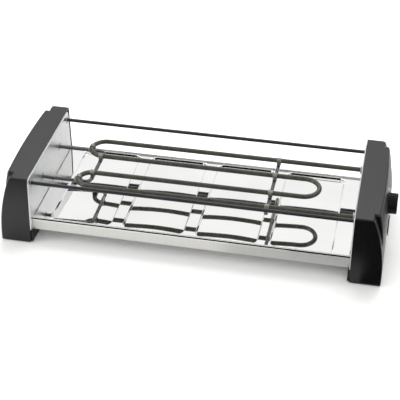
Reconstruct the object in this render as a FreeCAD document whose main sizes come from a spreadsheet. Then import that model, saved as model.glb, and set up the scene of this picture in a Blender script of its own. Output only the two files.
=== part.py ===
"""Base of a long table raclette grill, built as separate pieces in millimetres.

X runs along the grill with the knob at +X, Y from front to back, Z up. The pieces are drawn about
the middle between the two side plates and then moved together, so that the origin lies under the
middle of the whole object on the surface that it stands on.
"""
import FreeCAD, Part
import math
import operator
import os

import Sketcher
from FreeCAD import Placement, Rotation, Vector

SIZES = {
    # end housings: reach is counted along X from the middle, depth along Y, step from the mouth,
    # margin from the depth at the floor and drop from the housings' top
    "housing_height": 99.0,
    "floor_gap": 1.5,
    "wall_lean": 5.7,
    "depth_floor": 103.0,
    "mouth_step": 2.8,
    "wall": 2.2,
    "side_arc_radius": 246.3,
    "side_length": 41.1,
    "side_arc_crest": 11.3,
    "side_top_round": 5.0,
    "side_edge_round": 2.0,
    "wing_proud": 0.3,
    "wing_crest_drop": 61.0,
    "wing_arc_radius": 257.0,
    "wing_margin": 12.3,
    "wing_plan_radius": 1200.0,
    "wing_root_step": 12.4,
    "wing_bottom": 14.0,
    "wing_top_round": 3.0,
    "wing_end_round": 3.5,
    "cut_past": 4.0,
    "hole_past": 1.0,
    # side plates
    "plate_reach": 212.8,
    "plate_sheet": 0.8,
    "plate_gap": 0.2,
    "plate_flange": 10.0,
    "plate_bottom": 17.3,
    "plate_corner": 4.0,
    "plate_bend": 1.2,
    "stud_radius": 2.0,
    "stud_length": 19.6,
    "stud_margin": 23.0,
    "stud_low": 32.0,
    "stud_high": 62.0,
    "stud_fit": 0.2,
    "lug_step": 10.0,
    "lug_thickness": 3.0,
    "lug_width": 12.0,
    "nut_height": 3.2,
    "nut_radius": 4.0,
    "seat_gap": 0.05,
    # bottom covers, their screws and the feet
    "cover_sheet": 2.5,
    "cover_gap": 0.3,
    "upstand_thickness": 2.5,
    "boss_radius": 4.0,
    "boss_margin": 6.6,
    "boss_near_step": 14.4,
    "boss_spacing": 17.0,
    "boss_height": 30.0,
    "screw_radius": 1.6,
    "screw_fit": 0.15,
    "screw_head_radius": 3.3,
    "screw_head_height": 1.2,
    "screw_length": 13.0,
    "head_gap": 0.35,
    "foot_radius": 7.0,
    "foot_seat": 1.0,
    "foot_step": 21.4,
    "foot_margin": 29.0,
    "foot_stem_radius": 2.0,
    "foot_barb": 0.7,
    "foot_barb_height": 1.6,
    "foot_gap": 0.15,
    # reflector tray
    "tray_gap": 0.4,
    "tray_margin": 9.8,
    "tray_top": 35.5,
    "tray_sheet": 0.6,
    "apron_height": 17.7,
    "fold_radius": 1.0,
    "bay_row_margin": 29.6,
    "bay_count": 4.0,
    "bay_ridge": 16.0,
    "bay_margin": 5.2,
    "bay_drop": 1.8,
    "bay_wall_angle": 45.0,
    "bay_corner": 9.5,
    "tray_screw_step": 18.0,
    "tray_screw_drop": 9.0,
    "tray_screw_radius": 2.0,
    "tray_screw_length": 6.5,
    # heating element
    "tube_radius": 3.25,
    "tube_drop": 26.0,
    "outer_run": 57.3,
    "inner_run": 21.4,
    "inner_aside": 2.7,
    "left_bend_step": 67.3,
    "right_bend_step": 72.8,
    "tube_overhang": 25.2,
    "pin_radius": 1.2,
    "pin_length": 10.0,
    "seal_length": 3.0,
    "bush_flange_radius": 6.0,
    "bush_flange": 1.5,
    "bush_barrel_radius": 4.4,
    "bush_length": 3.0,
    "bush_fit": 0.05,
    # wires under the element, and their clips
    "wire_radius": 2.5,
    "wire_touch": 0.05,
    "cross_wire_step": 65.8,
    "wire_bend": 8.0,
    "wire_overhang": 5.2,
    "brace_step": 114.4,
    "brace_depth": 65.0,
    "clip_sheet": 0.8,
    "clip_width": 6.2,
    "clip_sleeve": 13.0,
    "clip_fit": 0.05,
    "bend_clip_fit": 0.7,
    "cross_clip_fit": 0.75,
    # rods and push nuts
    "rod_radius": 2.5,
    "rod_margin": 19.5,
    "rod_drop": 13.3,
    "rod_chamfer": 0.5,
    "rod_hole_fit": 0.1,
    "push_nut_radius": 5.5,
    "push_nut_height": 1.2,
    # knob, spindle and thermostat
    "control_drop": 36.5,
    "knob_proud": 9.3,
    "knob_radius": 14.0,
    "knob_round": 1.2,
    "knob_face": 2.4,
    "knob_skirt": 2.0,
    "knob_hub_radius": 5.5,
    "knob_gap": 0.8,
    "knob_bore_depth": 7.4,
    "flute_count": 24.0,
    "flute_radius": 0.8,
    "flute_margin": 2.0,
    "pointer_start": 4.0,
    "pointer_end": 12.2,
    "pointer_width": 1.8,
    "pointer_depth": 0.5,
    "recess_radius": 15.0,
    "recess_depth": 4.5,
    "recess_sheet": 3.0,
    "recess_boss_radius": 17.0,
    "spindle_radius": 3.0,
    "spindle_fit": 0.05,
    "spindle_flat": 2.2,
    "spindle_tail": 12.5,
    "collar_radius": 4.5,
    "collar_proud": 1.5,
    "collar_gap": 0.2,
    "thermostat_depth": 30.0,
    "thermostat_width": 30.0,
    "thermostat_length": 12.4,
    "thermostat_face": 1.0,
    "thermostat_ear": 2.0,
    "thermostat_gap": 0.1,
    "blade_length": 8.0,
    "blade_width": 6.3,
    "blade_sheet": 0.8,
    "blade_spacing": 8.0,
    "thermostat_screw_depth": 11.0,
    "thermostat_screw_radius": 1.9,
    "thermostat_screw_head": 3.4,
    "thermostat_screw_length": 9.0,
    "spring_ring": 0.7,
    "spring_width": 3.0,
    "spring_gap": 3.0,
    # pilot lamp
    "lens_drop": 15.0,
    "lens_radius": 2.5,
    "lens_inset": 3.7,
    "lens_flange_radius": 3.6,
    "lens_flange": 1.2,
    "lens_seat_inset": 7.4,
    "lens_round": 1.0,
    "lens_fit": 0.1,
    "lamp_radius": 3.0,
    "lamp_length": 15.0,
    # cord inlet and the wiring inside
    "inlet_share": 0.416,
    "inlet_stand": 0.15,
    "inlet_flange": 0.7,
    "inlet_radius": 14.0,
    "inlet_bore": 3.75,
    "inlet_stem_radius": 10.0,
    "inlet_stem_length": 8.65,
    "inlet_rib": 0.6,
    "inlet_rib_pitch": 3.4,
    "inlet_ribs": 3.0,
    "inlet_hole_fit": 0.2,
    "inlet_nut_radius": 12.5,
    "inlet_nut": 3.0,
    "inlet_nut_inset": 3.1,
    "clamp_step": 22.4,
    "clamp_width": 7.0,
    "clamp_depth": 17.0,
    "clamp_pillar": 8.0,
    "clamp_rise": 3.7,
    "clamp_bar": 3.0,
    "clamp_screw_radius": 1.4,
    "clamp_screw_head": 2.6,
    "clamp_screw_length": 10.0,
    "block_step": 13.4,
    "block_width": 16.0,
    "block_start": 30.0,
    "block_length": 30.0,
    "block_height": 12.0,
    "block_pad": 2.0,
    "block_well_depth": 3.0,
    "block_well_radius": 2.0,
    "block_well_step": 4.0,
    "cutout_radius": 8.0,
    "cutout_length": 7.0,
    "cutout_depth": 38.0,
    "cutout_height": 45.0,
    "cutout_blade": 5.0,
    "earth_ring": 5.0,
    "earth_sheet": 0.8,
    "earth_tail": 14.0,
    "lead_radius": 1.1,
    "lead_bend": 5.0,
    "lead_stub": 12.0,
    "lead_rise": 14.0,
    "lead_drop": 12.0,
    "lead_sag": 6.0,
    "lead_aside": 8.0,
    "live_back": 9.0,
    "cutout_lead_out": 7.0,
    "thermostat_lead_out": 5.0,
    "thermostat_lead_start": 4.0,
    "pin_inset": 2.0,
    "pin_drop": 9.0,
    "neutral_dip": 26.0,
    "earth_rise": 9.0,
    "earth_lift": 3.0,
    "earth_step": 2.0,
}
# places counted from another place: where they are counted from, which way, and by which size
PLACES = {
    "depth_top": ("depth_floor", -1, "wall_lean"),
    "rim_reach": ("plate_reach", 1, "mouth_step"),
    "side_arc_reach": ("rim_reach", 1, "side_length"),
    "wing_reach": ("side_arc_reach", 1, "wing_proud"),
    "wing_depth": ("depth_top", -1, "wing_margin"),
    "wing_root": ("rim_reach", 1, "wing_root_step"),
    "wing_crest": ("housing_height", -1, "wing_crest_drop"),
    "stud_depth": ("depth_floor", -1, "stud_margin"),
    "lug_reach": ("rim_reach", 1, "lug_step"),
    "boss_depth": ("depth_floor", -1, "boss_margin"),
    "boss_near": ("rim_reach", 1, "boss_near_step"),
    "boss_far": ("boss_near", 1, "boss_spacing"),
    "foot_reach": ("rim_reach", 1, "foot_step"),
    "foot_depth": ("depth_floor", -1, "foot_margin"),
    "tray_depth": ("depth_floor", -1, "tray_margin"),
    "tray_screw_depth": ("stud_depth", -1, "tray_screw_step"),
    "bay_depth": ("tray_depth", -1, "bay_margin"),
    "tube_height": ("housing_height", -1, "tube_drop"),
    "left_bend": ("plate_reach", -1, "left_bend_step"),
    "right_bend": ("plate_reach", -1, "right_bend_step"),
    "tube_end": ("plate_reach", 1, "tube_overhang"),
    "cross_wire": ("plate_reach", -1, "cross_wire_step"),
    "wire_end": ("plate_reach", 1, "wire_overhang"),
    "brace_reach": ("plate_reach", -1, "brace_step"),
    "rod_depth": ("depth_floor", -1, "rod_margin"),
    "rod_height": ("housing_height", -1, "rod_drop"),
    "control_height": ("housing_height", -1, "control_drop"),
    "knob_front": ("wing_reach", 1, "knob_proud"),
    "recess_floor": ("wing_reach", -1, "recess_depth"),
    "spindle_start": ("recess_floor", -1, "spindle_tail"),
    "lens_height": ("housing_height", -1, "lens_drop"),
    "lens_tip": ("wing_reach", -1, "lens_inset"),
    "lens_seat": ("wing_reach", -1, "lens_seat_inset"),
    "inlet_back": ("wing_reach", 1, "inlet_stand"),
    "inlet_stem_end": ("inlet_back", -1, "inlet_stem_length"),
    "inlet_nut_seat": ("wing_reach", -1, "inlet_nut_inset"),
    "clamp_near": ("rim_reach", 1, "clamp_step"),
    "clamp_far": ("clamp_near", 1, "clamp_width"),
    "block_near": ("rim_reach", 1, "block_step"),
    "block_far": ("block_near", 1, "block_width"),
}
LEAD_ROOM = 0.45
WELL_SHARES = {"live": 0.2, "earth": 0.5, "neutral": 0.8}
EARTH_TURN_SHARE = 0.9
AXES = {"X": Vector(1, 0, 0), "Y": Vector(0, 1, 0), "Z": Vector(0, 0, 1)}
NEAR = 0.01
SIDES = {"left": -1, "right": 1}
ENDS = {"front": -1, "rear": 1}


class Size:
    """A length from the sheet, or one worked out from it: its value and its expression."""

    def __init__(self, value, text):
        self.value = float(value)
        self.text = text

    def joined(self, other, sign, work):
        other = as_size(other)
        return Size(work(self.value, other.value), f"({self.text} {sign} {other.text})")

    def __add__(self, other):
        return self.joined(other, "+", operator.add)

    def __sub__(self, other):
        return self.joined(other, "-", operator.sub)

    def __mul__(self, other):
        return self.joined(other, "*", operator.mul)

    def __truediv__(self, other):
        return self.joined(other, "/", operator.truediv)

    def __rsub__(self, other):
        return as_size(other) - self

    def __neg__(self):
        return self * -1

    __radd__ = __add__
    __rmul__ = __mul__


def as_size(number):
    """A Size as it is, and a plain number as a Size of its own."""
    if isinstance(number, Size):
        return number
    return Size(number, f"({float(number)})")


class Sheet:
    """The spreadsheet of driving dimensions, and the places worked out from it, read by name."""

    def __init__(self, document, sizes):
        self.cells = document.addObject("Spreadsheet::Sheet", "Sizes")
        self.sizes = sizes
        for row, (name, value) in enumerate(sizes.items(), start=1):
            self.cells.set(f"A{row}", name)
            self.cells.set(f"B{row}", str(value))
            self.cells.setAlias(f"B{row}", name)

    def __getattr__(self, name):
        if name in PLACES:
            base, way, step = PLACES[name]
            return getattr(self, base) + way * getattr(self, step)
        return Size(self.sizes[name], f"Sizes.{name}")


doc = FreeCAD.newDocument("RacletteBase")
S = Sheet(doc, SIZES)
doc.recompute()
NODES = []
SHIFT = (S.wing_reach - S.knob_front) / 2
MIDDLE = as_size(0)
FLUSH = as_size(0)


# Drawing helpers

def bind(thing, prop, size):
    thing.setExpression(prop, as_size(size).text)


def keep(thing, name):
    """Names a finished sub-part and moves it with all the others."""
    thing.Label = name
    bind(thing, "Placement.Base.x", SHIFT)
    NODES.append(thing)
    return thing


def new_body(name):
    return doc.addObject("PartDesign::Body", name)


def origin_plane(body, role):
    return next(item for item in body.Origin.OriginFeatures if item.Role == role)


def new_sketch(body, name, plane, offset=0, slide=None):
    """A sketch on one of the body's planes, moved along its normal and, with slide, along its own x and y."""
    sketch = body.newObject("Sketcher::SketchObject", name)
    sketch.AttachmentSupport = [(origin_plane(body, plane), "")]
    sketch.MapMode = "FlatFace"
    bind(sketch, "AttachmentOffset.Base.z", offset)
    for axis, size in zip("xy", slide or ()):
        bind(sketch, f"AttachmentOffset.Base.{axis}", size)
    return sketch


def number(size):
    return size.value if isinstance(size, Size) else float(size)


def arc_between(start, end, centre, turn):
    """An arc of the sketch, and whether it is stored from its end to its start."""
    radius = (start - centre).Length
    angles = [math.atan2(p.y - centre.y, p.x - centre.x) for p in (start, end)]
    backwards = turn < 0
    if backwards:
        angles.reverse()
    if angles[1] <= angles[0]:
        angles[1] += 2 * math.pi
    circle = Part.Circle(centre, AXES["Z"], radius)
    return Part.ArcOfCircle(circle, angles[0], angles[1]), backwards


def chain(sketch, corners, arcs=None, closed=True):
    """Lines and arcs through the corners (x, y) of a sketch.

    A coordinate given as a Size is bound, and one given as a number is only where it starts.
    arcs holds, for the stretch after a corner, a dictionary with radius, centre or both, and turn.
    """
    arcs = arcs or {}
    points = [Vector(number(x), number(y), 0) for x, y in corners]
    stretches = len(points) if closed else len(points) - 1
    first_of, last_of = {}, {}
    for i in range(stretches):
        start, end = points[i], points[(i + 1) % len(points)]
        arc = arcs.get(i)
        if arc is None:
            index = sketch.addGeometry(Part.LineSegment(start, end), False)
            first_of[i], last_of[i] = (index, 1), (index, 2)
            continue
        turn = arc.get("turn", 1)
        if "centre" in arc:
            centre = Vector(number(arc["centre"][0]), number(arc["centre"][1]), 0)
        else:
            half = (end - start) / 2
            side = Vector(-half.y, half.x, 0).normalize() * turn
            rise = math.sqrt(max(arc["radius"].value ** 2 - half.Length ** 2, 0))
            centre = start + half + side * rise
        shape, backwards = arc_between(start, end, centre, turn)
        index = sketch.addGeometry(shape, False)
        first_of[i], last_of[i] = ((index, 2), (index, 1)) if backwards else ((index, 1), (index, 2))
        if "centre" in arc:
            fix_point(sketch, (index, 3), arc["centre"])
        if arc.get("radius") is not None:
            constrain(sketch, ("Radius", index), arc["radius"])
    for i in range(stretches):
        following = (i + 1) % stretches
        if closed or i + 1 < stretches:
            sketch.addConstraint(Sketcher.Constraint("Coincident", *last_of[i], *first_of[following]))
        fix_point(sketch, first_of[i], corners[i])
    if not closed:
        fix_point(sketch, last_of[stretches - 1], corners[-1])


def fix_point(sketch, point, place):
    """Binds those coordinates of a sketch point that are given as sizes."""
    for kind, size in zip(("DistanceX", "DistanceY"), place):
        if isinstance(size, Size):
            constrain(sketch, (kind, -1, 1, *point), size)


def constrain(sketch, constraint, size):
    index = sketch.addConstraint(Sketcher.Constraint(*constraint, size.value))
    bind(sketch, f"Constraints[{index}]", size)


def rectangle(sketch, x, y, corner=None):
    """A rectangle from x[0] to x[1] and y[0] to y[1], its corners rounded where corner is given."""
    (left, right), (low, high) = x, y
    if corner is None:
        chain(sketch, [(left, low), (right, low), (right, high), (left, high)])
        return
    corners = [
        (left + corner, low), (right - corner, low), (right, low + corner), (right, high - corner),
        (right - corner, high), (left + corner, high), (left, high - corner), (left, low + corner),
    ]
    chain(sketch, corners, {i: {"radius": corner} for i in (1, 3, 5, 7)})


def circle(sketch, x, y, radius):
    index = sketch.addGeometry(Part.Circle(Vector(x.value, y.value, 0), AXES["Z"], radius.value), False)
    fix_point(sketch, (index, 3), (x, y))
    constrain(sketch, ("Radius", index), radius)


def extrude(body, kind, sketch, length, both_ways=False, backwards=False, taper=None):
    """A Pad or a Pocket of the sketch."""
    feature = body.newObject(f"PartDesign::{kind}", f"{sketch.Name}_{kind}")
    feature.Profile = sketch
    feature.Midplane = both_ways
    feature.Reversed = backwards
    bind(feature, "Length", length)
    if taper is not None:
        bind(feature, "TaperAngle", taper)
    return feature


def pattern(body, kind, feature, settings, length, count):
    """Repeats a feature of the body; settings are the pattern's own properties."""
    repeat = body.newObject(f"PartDesign::{kind}", f"{feature.Name}_{kind}")
    repeat.Originals = [feature]
    for prop, value in settings.items():
        setattr(repeat, prop, value)
    if length is not None:
        bind(repeat, "Length", length)
    bind(repeat, "Occurrences", count)
    body.Tip = repeat
    return repeat


def samples(edge):
    first, last = edge.ParameterRange
    return [edge.valueAt(first + (last - first) * part) for part in (0.02, 0.5, 0.98)]


def soften(body, kind, prop, size, chosen):
    """A Fillet or Chamfer of those edges of the body on which every sample point is chosen."""
    doc.recompute()
    base = body.Tip
    names = [f"Edge{i}" for i, edge in enumerate(base.Shape.Edges, start=1)
             if all(chosen(point) for point in samples(edge))]
    if not names:
        raise RuntimeError(f"no edge to soften on {body.Name}")
    feature = body.newObject(f"PartDesign::{kind}", f"{base.Name}_{kind}")
    feature.Base = (base, names)
    bind(feature, prop, size)
    return feature


def box(name, x, y, z):
    """A block between two values along each axis, given in either order."""
    block = doc.addObject("Part::Box", name)
    for axis, prop, pair in zip("xyz", ("Length", "Width", "Height"), (x, y, z)):
        low, high = sorted((as_size(size) for size in pair), key=lambda size: size.value)
        bind(block, prop, high - low)
        bind(block, f"Placement.Base.{axis}", low)
    return block


def turned_along(thing, axis, start, end, centre):
    """Stands a solid of revolution along an axis, from the lower of two values to the higher."""
    low, high = sorted((as_size(start), as_size(end)), key=lambda size: size.value)
    thing.Placement = Placement(Vector(), Rotation(AXES["Z"], AXES[axis]))
    bind(thing, "Height", high - low)
    places = dict(zip("XYZ".replace(axis, ""), centre))
    places[axis] = low
    for name, size in places.items():
        bind(thing, f"Placement.Base.{name.lower()}", size)
    return thing


def cylinder(name, axis, start, end, centre, radius):
    """A cylinder along an axis; centre holds its two other coordinates in X, Y, Z order."""
    thing = doc.addObject("Part::Cylinder", name)
    bind(thing, "Radius", radius)
    return turned_along(thing, axis, start, end, centre)


def hexagon(name, axis, start, end, centre, radius):
    thing = doc.addObject("Part::Prism", name)
    thing.Polygon = 6
    bind(thing, "Circumradius", radius)
    return turned_along(thing, axis, start, end, centre)


def fuse(name, things):
    joined = doc.addObject("Part::MultiFuse", name)
    joined.Shapes = things
    joined.Refine = True
    return joined


def cut(name, base, tools):
    """The base without the tools."""
    result = doc.addObject("Part::Cut", name)
    result.Base = base
    result.Tool = tools[0] if len(tools) == 1 else fuse(f"{name}_tools", tools)
    result.Refine = True
    return result


def group(name, things):
    """Separate solids of one kind in one node."""
    gathered = doc.addObject("Part::Compound", name)
    gathered.Links = things
    return keep(gathered, name)


def both(size):
    """The same distance on either side of the middle."""
    return (-size, size)


def wall_depth(height):
    """Half the depth of a housing's outer faces at a height."""
    return S.depth_floor - (S.depth_floor - S.depth_top) * height / S.housing_height


# End housings

def end_block(name, inset, mouth, bottom):
    """The main block of the right housing, its faces drawn in by inset."""
    body = new_body(name)
    top = S.housing_height - inset
    radius = S.side_arc_radius - inset
    centre = (S.side_arc_reach - S.side_arc_radius, S.side_arc_crest)
    profile = new_sketch(body, f"{name}_profile", "XZ_Plane")
    arched_profile(profile, mouth, (bottom, top), centre, radius)
    extrude(body, "Pad", profile, 2 * (S.depth_floor - inset), both_ways=True)
    lean = new_sketch(body, f"{name}_lean", "YZ_Plane")
    for end in ENDS.values():
        floor_depth, top_depth = S.depth_floor - inset, S.depth_top - inset
        past = floor_depth + S.cut_past
        chain(lean, [(end * floor_depth, MIDDLE), (end * past, MIDDLE),
                     (end * past, S.housing_height), (end * top_depth, S.housing_height)])
    extrude(body, "Pocket", lean, 4 * S.wing_reach, both_ways=True)
    return body


def arched_profile(sketch, root, heights, centre, radius):
    """A profile from an upright line at root out to an arc, between two heights."""
    low, high = heights
    reaches = [centre[0].value + math.sqrt(radius.value ** 2 - (height - centre[1]).value ** 2)
               for height in heights]
    corners = [(root, low), (reaches[0], low), (reaches[1], high), (root, high)]
    chain(sketch, corners, {1: {"centre": centre, "radius": radius}})


def soften_block(body):
    """Rounds the block's top edge towards the side and then the outline of its front and back faces."""
    top = S.housing_height.value
    rim = S.rim_reach.value

    def on_outer_top(point):
        return abs(point.z - top) < NEAR and point.x > rim + 1 and abs(point.y) < S.depth_top.value - 1

    def on_face(point):
        on_plane = abs(abs(point.y) - wall_depth(point.z).value) < NEAR
        return on_plane and point.x > rim + NEAR and point.z > S.floor_gap.value + NEAR

    soften(body, "Fillet", "Radius", S.side_top_round, on_outer_top)
    soften(body, "Fillet", "Radius", S.side_edge_round, on_face)


def wing_block(name, inset):
    """The wing on the right housing's side, turned about a far upright axis so that it bows out in plan."""
    body = new_body(name)
    far = S.wing_plan_radius - S.wing_reach
    radius = S.wing_arc_radius - inset
    centre = (S.wing_plan_radius - S.wing_arc_radius, S.wing_crest)
    profile = new_sketch(body, f"{name}_profile", "XZ_Plane", slide=(-far, MIDDLE))
    heights = (S.wing_bottom + inset, S.housing_height - inset)
    arched_profile(profile, S.wing_root + far, heights, centre, radius)
    bow = body.newObject("PartDesign::Revolution", f"{name}_bow")
    bow.Profile = profile
    bow.ReferenceAxis = (profile, ["V_Axis"])
    bow.Midplane = True
    bow.setExpression("Angle", f"2 * asin({(S.wing_depth - inset).text} / {S.wing_plan_radius.text})")
    return body


def soften_wing(body):
    """Rounds the wing's top edge and then the outline of its two end faces."""
    top = S.housing_height.value
    far = (S.wing_plan_radius - S.wing_reach).value
    root = S.wing_root.value + far
    end_angle = math.asin(S.wing_depth.value / S.wing_plan_radius.value)

    def on_outer_top(point):
        middle = abs(point.y) < S.wing_depth.value - 1
        return abs(point.z - top) < NEAR and middle and math.hypot(point.x + far, point.y) > root + 1

    def on_end(point):
        angle = math.atan2(abs(point.y), point.x + far)
        away = math.hypot(point.x + far, point.y) > root + NEAR
        return abs(angle - end_angle) < 1e-5 and away and point.z > S.wing_bottom.value + NEAR

    soften(body, "Fillet", "Radius", S.wing_top_round, on_outer_top)
    soften(body, "Fillet", "Radius", S.wing_end_round, on_end)


def mirrored(name, thing):
    """The same solid on the other side of the middle."""
    mirror = doc.addObject("Part::Mirroring", name)
    mirror.Source = thing
    mirror.Normal = AXES["X"]
    return mirror


def housing_solids():
    """The right housing's full outside and the room in it."""
    block = end_block("housing_block", FLUSH, S.rim_reach, S.floor_gap)
    soften_block(block)
    wing = wing_block("housing_wing", FLUSH)
    soften_wing(wing)
    mouth, bottom = S.rim_reach - S.cut_past, S.floor_gap - S.cut_past
    room_block = end_block("room_block", S.wall, mouth, bottom)
    room_wing = wing_block("room_wing", S.wall)
    return fuse("housing_outside", [block, wing]), fuse("housing_room", [room_block, room_wing])


def housing(name, side, outside, room, holes):
    """One end housing: an open shell with screw bosses, stud lugs and the holes that its end needs."""
    shell = cut(f"{name}_shell", outside, [room])
    added = []
    bores = []
    floor = cover_top() + S.seat_gap
    for end in ENDS.values():
        for reach in (S.boss_near, S.boss_far):
            place = (side * reach, end * S.boss_depth)
            added.append(cylinder(f"{name}_boss", "Z", floor, floor + S.boss_height, place, S.boss_radius))
            pilot = S.screw_radius + S.screw_fit
            depth = S.screw_length + S.cut_past
            bores.append(cylinder(f"{name}_pilot", "Z", floor - S.cut_past, floor + depth, place, pilot))
        for height in (S.stud_low, S.stud_high):
            rise = (height - S.lug_width / 2, height + S.lug_width / 2)
            span = (end * (S.stud_depth - S.lug_width / 2), end * (wall_depth(height) - S.wall / 2))
            near, past = S.lug_reach, S.lug_reach + S.lug_thickness
            added.append(box(f"{name}_lug", (side * near, side * past), span, rise))
            hole_radius = S.stud_radius + S.stud_fit
            place = (end * S.stud_depth, height)
            bores.append(cylinder(f"{name}_lug_hole", "X", side * (near - S.hole_past),
                                  side * (past + S.hole_past), place, hole_radius))
    solid = fuse(f"{name}_solid", [shell] + added)
    group(name, [cut(f"{name}_cut", solid, bores + holes)])


def cover_top():
    return S.floor_gap + S.cover_sheet


def right_end_holes():
    """Holes of the right housing: knob recess, collar, its two screws, pilot lens and cord inlet."""
    control = (MIDDLE, S.control_height)
    inside, outside = S.rim_reach, S.knob_front
    collar_hole = S.collar_radius + S.collar_gap
    holes = [
        cylinder("recess", "X", S.recess_floor, outside, control, S.recess_radius),
        cylinder("collar_hole", "X", inside, outside, control, collar_hole),
        cylinder("lens_hole", "X", inside, outside, (MIDDLE, S.lens_height), S.lens_radius + S.lens_fit),
        cylinder("inlet_hole", "X", inside, outside, (MIDDLE, inlet_height()),
                 S.inlet_stem_radius + S.inlet_hole_fit),
    ]
    for end in ENDS.values():
        place = (end * S.thermostat_screw_depth, S.control_height)
        holes.append(cylinder("thermostat_screw_hole", "X", inside, S.recess_floor, place,
                              S.thermostat_screw_radius + S.screw_fit))
        holes.append(countersink("thermostat_screw_sink", place, S.screw_fit))
    return holes


def countersink(name, place, fit):
    """The cone of a countersunk head, its wide end level with the floor of the knob's recess."""
    cone = doc.addObject("Part::Cone", name)
    bind(cone, "Radius1", S.thermostat_screw_radius + fit)
    bind(cone, "Radius2", S.thermostat_screw_head + fit)
    depth = S.thermostat_screw_head - S.thermostat_screw_radius
    return turned_along(cone, "X", S.recess_floor - depth, S.recess_floor, place)


def housings():
    outside, room = housing_solids()
    left_outside, left_room = mirrored("left_outside", outside), mirrored("left_room", room)
    housing("left_housing", SIDES["left"], left_outside, left_room, [])
    boss = cylinder("recess_boss", "X", S.recess_floor - S.recess_sheet, S.knob_front,
                    (MIDDLE, S.control_height), S.recess_boss_radius)
    right_room = cut("room_round_recess", room, [boss])
    housing("right_housing", SIDES["right"], outside, right_room, right_end_holes())


# Bottom covers, their screws and the feet

def foot_places(side):
    return {end: (side * S.foot_reach, ENDS[end] * S.foot_depth) for end in ENDS}


def cover_screw_places(side):
    return [(side * reach, end * S.boss_depth)
            for reach in (S.boss_near, S.boss_far) for end in ENDS.values()]


def bottom_cover(name, side, pillars):
    """A flat cover with an upstand that closes the gap below the side plate."""
    reach = S.side_arc_reach - S.wall - S.cover_gap - 2 * S.seat_gap
    depth = wall_depth(cover_top()) - S.wall - S.cover_gap
    sheet = box(f"{name}_sheet", (side * S.plate_reach, side * reach), both(depth),
                (S.floor_gap, cover_top()))
    upstand_depth = wall_depth(S.plate_bottom) - S.wall - S.cover_gap
    upstand = box(f"{name}_upstand", (side * S.plate_reach, side * (S.plate_reach + S.upstand_thickness)),
                  both(upstand_depth), (S.floor_gap, S.plate_bottom - S.seat_gap))
    holes = []
    for place in cover_screw_places(side):
        holes.append(cylinder(f"{name}_screw_hole", "Z", 0, cover_top() + S.hole_past, place,
                              S.screw_radius + S.screw_fit))
        holes.append(cylinder(f"{name}_screw_seat", "Z", 0, S.floor_gap + S.screw_head_height, place,
                              S.screw_head_radius + S.head_gap))
    for place in foot_places(side).values():
        holes.append(cylinder(f"{name}_foot_seat", "Z", 0, S.floor_gap + S.foot_seat, place,
                              S.foot_radius + S.foot_gap))
        holes.append(cylinder(f"{name}_foot_hole", "Z", 0, cover_top() + S.hole_past, place,
                              S.foot_stem_radius + S.foot_gap))
    solid = fuse(f"{name}_solid", [sheet, upstand] + pillars)
    group(name, [cut(f"{name}_cut", solid, holes)])


def inlet_height():
    return S.control_height * S.inlet_share


def clamp_saddle():
    return inlet_height() - S.clamp_rise


def clamp_seat():
    return inlet_height() + S.clamp_rise


def clamp_screw_places():
    middle = (S.clamp_near + S.clamp_far) / 2
    return [(middle, end * (S.clamp_depth - S.clamp_pillar / 2)) for end in ENDS.values()]


def right_cover_pillars():
    """What stands on the right cover: the cord clamp's saddle and the terminal block's pad."""
    span = (S.clamp_near, S.clamp_far)
    pillars = [box("clamp_saddle", span, both(S.clamp_depth), (S.floor_gap, clamp_saddle()))]
    for end in ENDS.values():
        depth = (end * (S.clamp_depth - S.clamp_pillar), end * S.clamp_depth)
        pillars.append(box("clamp_pillar", span, depth, (S.floor_gap, clamp_seat())))
    block_span = (S.block_near, S.block_far)
    block_depth = (-S.block_start, -(S.block_start + S.block_length))
    pillars.append(box("block_pad_solid", block_span, block_depth, (S.floor_gap, cover_top() + S.block_pad)))
    bores = [cylinder("clamp_bore", "Z", clamp_seat() - S.clamp_screw_length, clamp_seat() + S.hole_past,
                      place, S.clamp_screw_radius + S.screw_fit) for place in clamp_screw_places()]
    return [cut("pillars_cut", fuse("pillars_solid", pillars), bores)]


def covers_and_feet():
    bottom_cover("left_bottom_cover", SIDES["left"], [])
    bottom_cover("right_bottom_cover", SIDES["right"], right_cover_pillars())
    for label, side in SIDES.items():
        screws = []
        seat = S.floor_gap + S.screw_head_height
        for place in cover_screw_places(side):
            head = cylinder("cover_screw_head", "Z", seat - S.screw_head_height, seat, place,
                            S.screw_head_radius)
            shank = cylinder("cover_screw_shank", "Z", seat, seat + S.screw_length, place, S.screw_radius)
            slot = box("cover_screw_slot", (place[0] - S.screw_head_radius, place[0] + S.screw_head_radius),
                       (place[1] - S.screw_radius / 4, place[1] + S.screw_radius / 4),
                       (0, seat - S.screw_head_height / 2))
            screws.append(cut("cover_screw", fuse("cover_screw_solid", [head, shank]), [slot]))
        group(f"{label}_cover_screws", screws)
        for end, place in foot_places(side).items():
            foot(f"{end}_{label}_foot", place)


def foot(name, place):
    """A round rubber foot with a barbed stem."""
    seat = S.floor_gap + S.foot_seat
    barb = cover_top() + S.seat_gap
    pad = cylinder(f"{name}_pad", "Z", 0, seat, place, S.foot_radius)
    stem = cylinder(f"{name}_stem", "Z", seat, barb, place, S.foot_stem_radius)
    tip = doc.addObject("Part::Cone", f"{name}_tip")
    bind(tip, "Radius1", S.foot_stem_radius + S.foot_barb)
    bind(tip, "Radius2", S.foot_stem_radius - S.foot_barb)
    turned_along(tip, "Z", barb, barb + S.foot_barb_height, place)
    group(name, [fuse(f"{name}_solid", [pad, stem, tip])])


# Side plates

def plate_outline(sketch, inset):
    """The plate's trapezium, inside the housing's walls by the plate's gap and the inset."""
    low = S.plate_bottom + inset
    high = S.housing_height - S.wall - S.plate_gap - inset
    margin = S.wall + S.plate_gap + inset
    wide, narrow = wall_depth(low) - margin, wall_depth(high) - margin
    chain(sketch, [(-wide, low), (wide, low), (narrow, high), (-narrow, high)])


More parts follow.
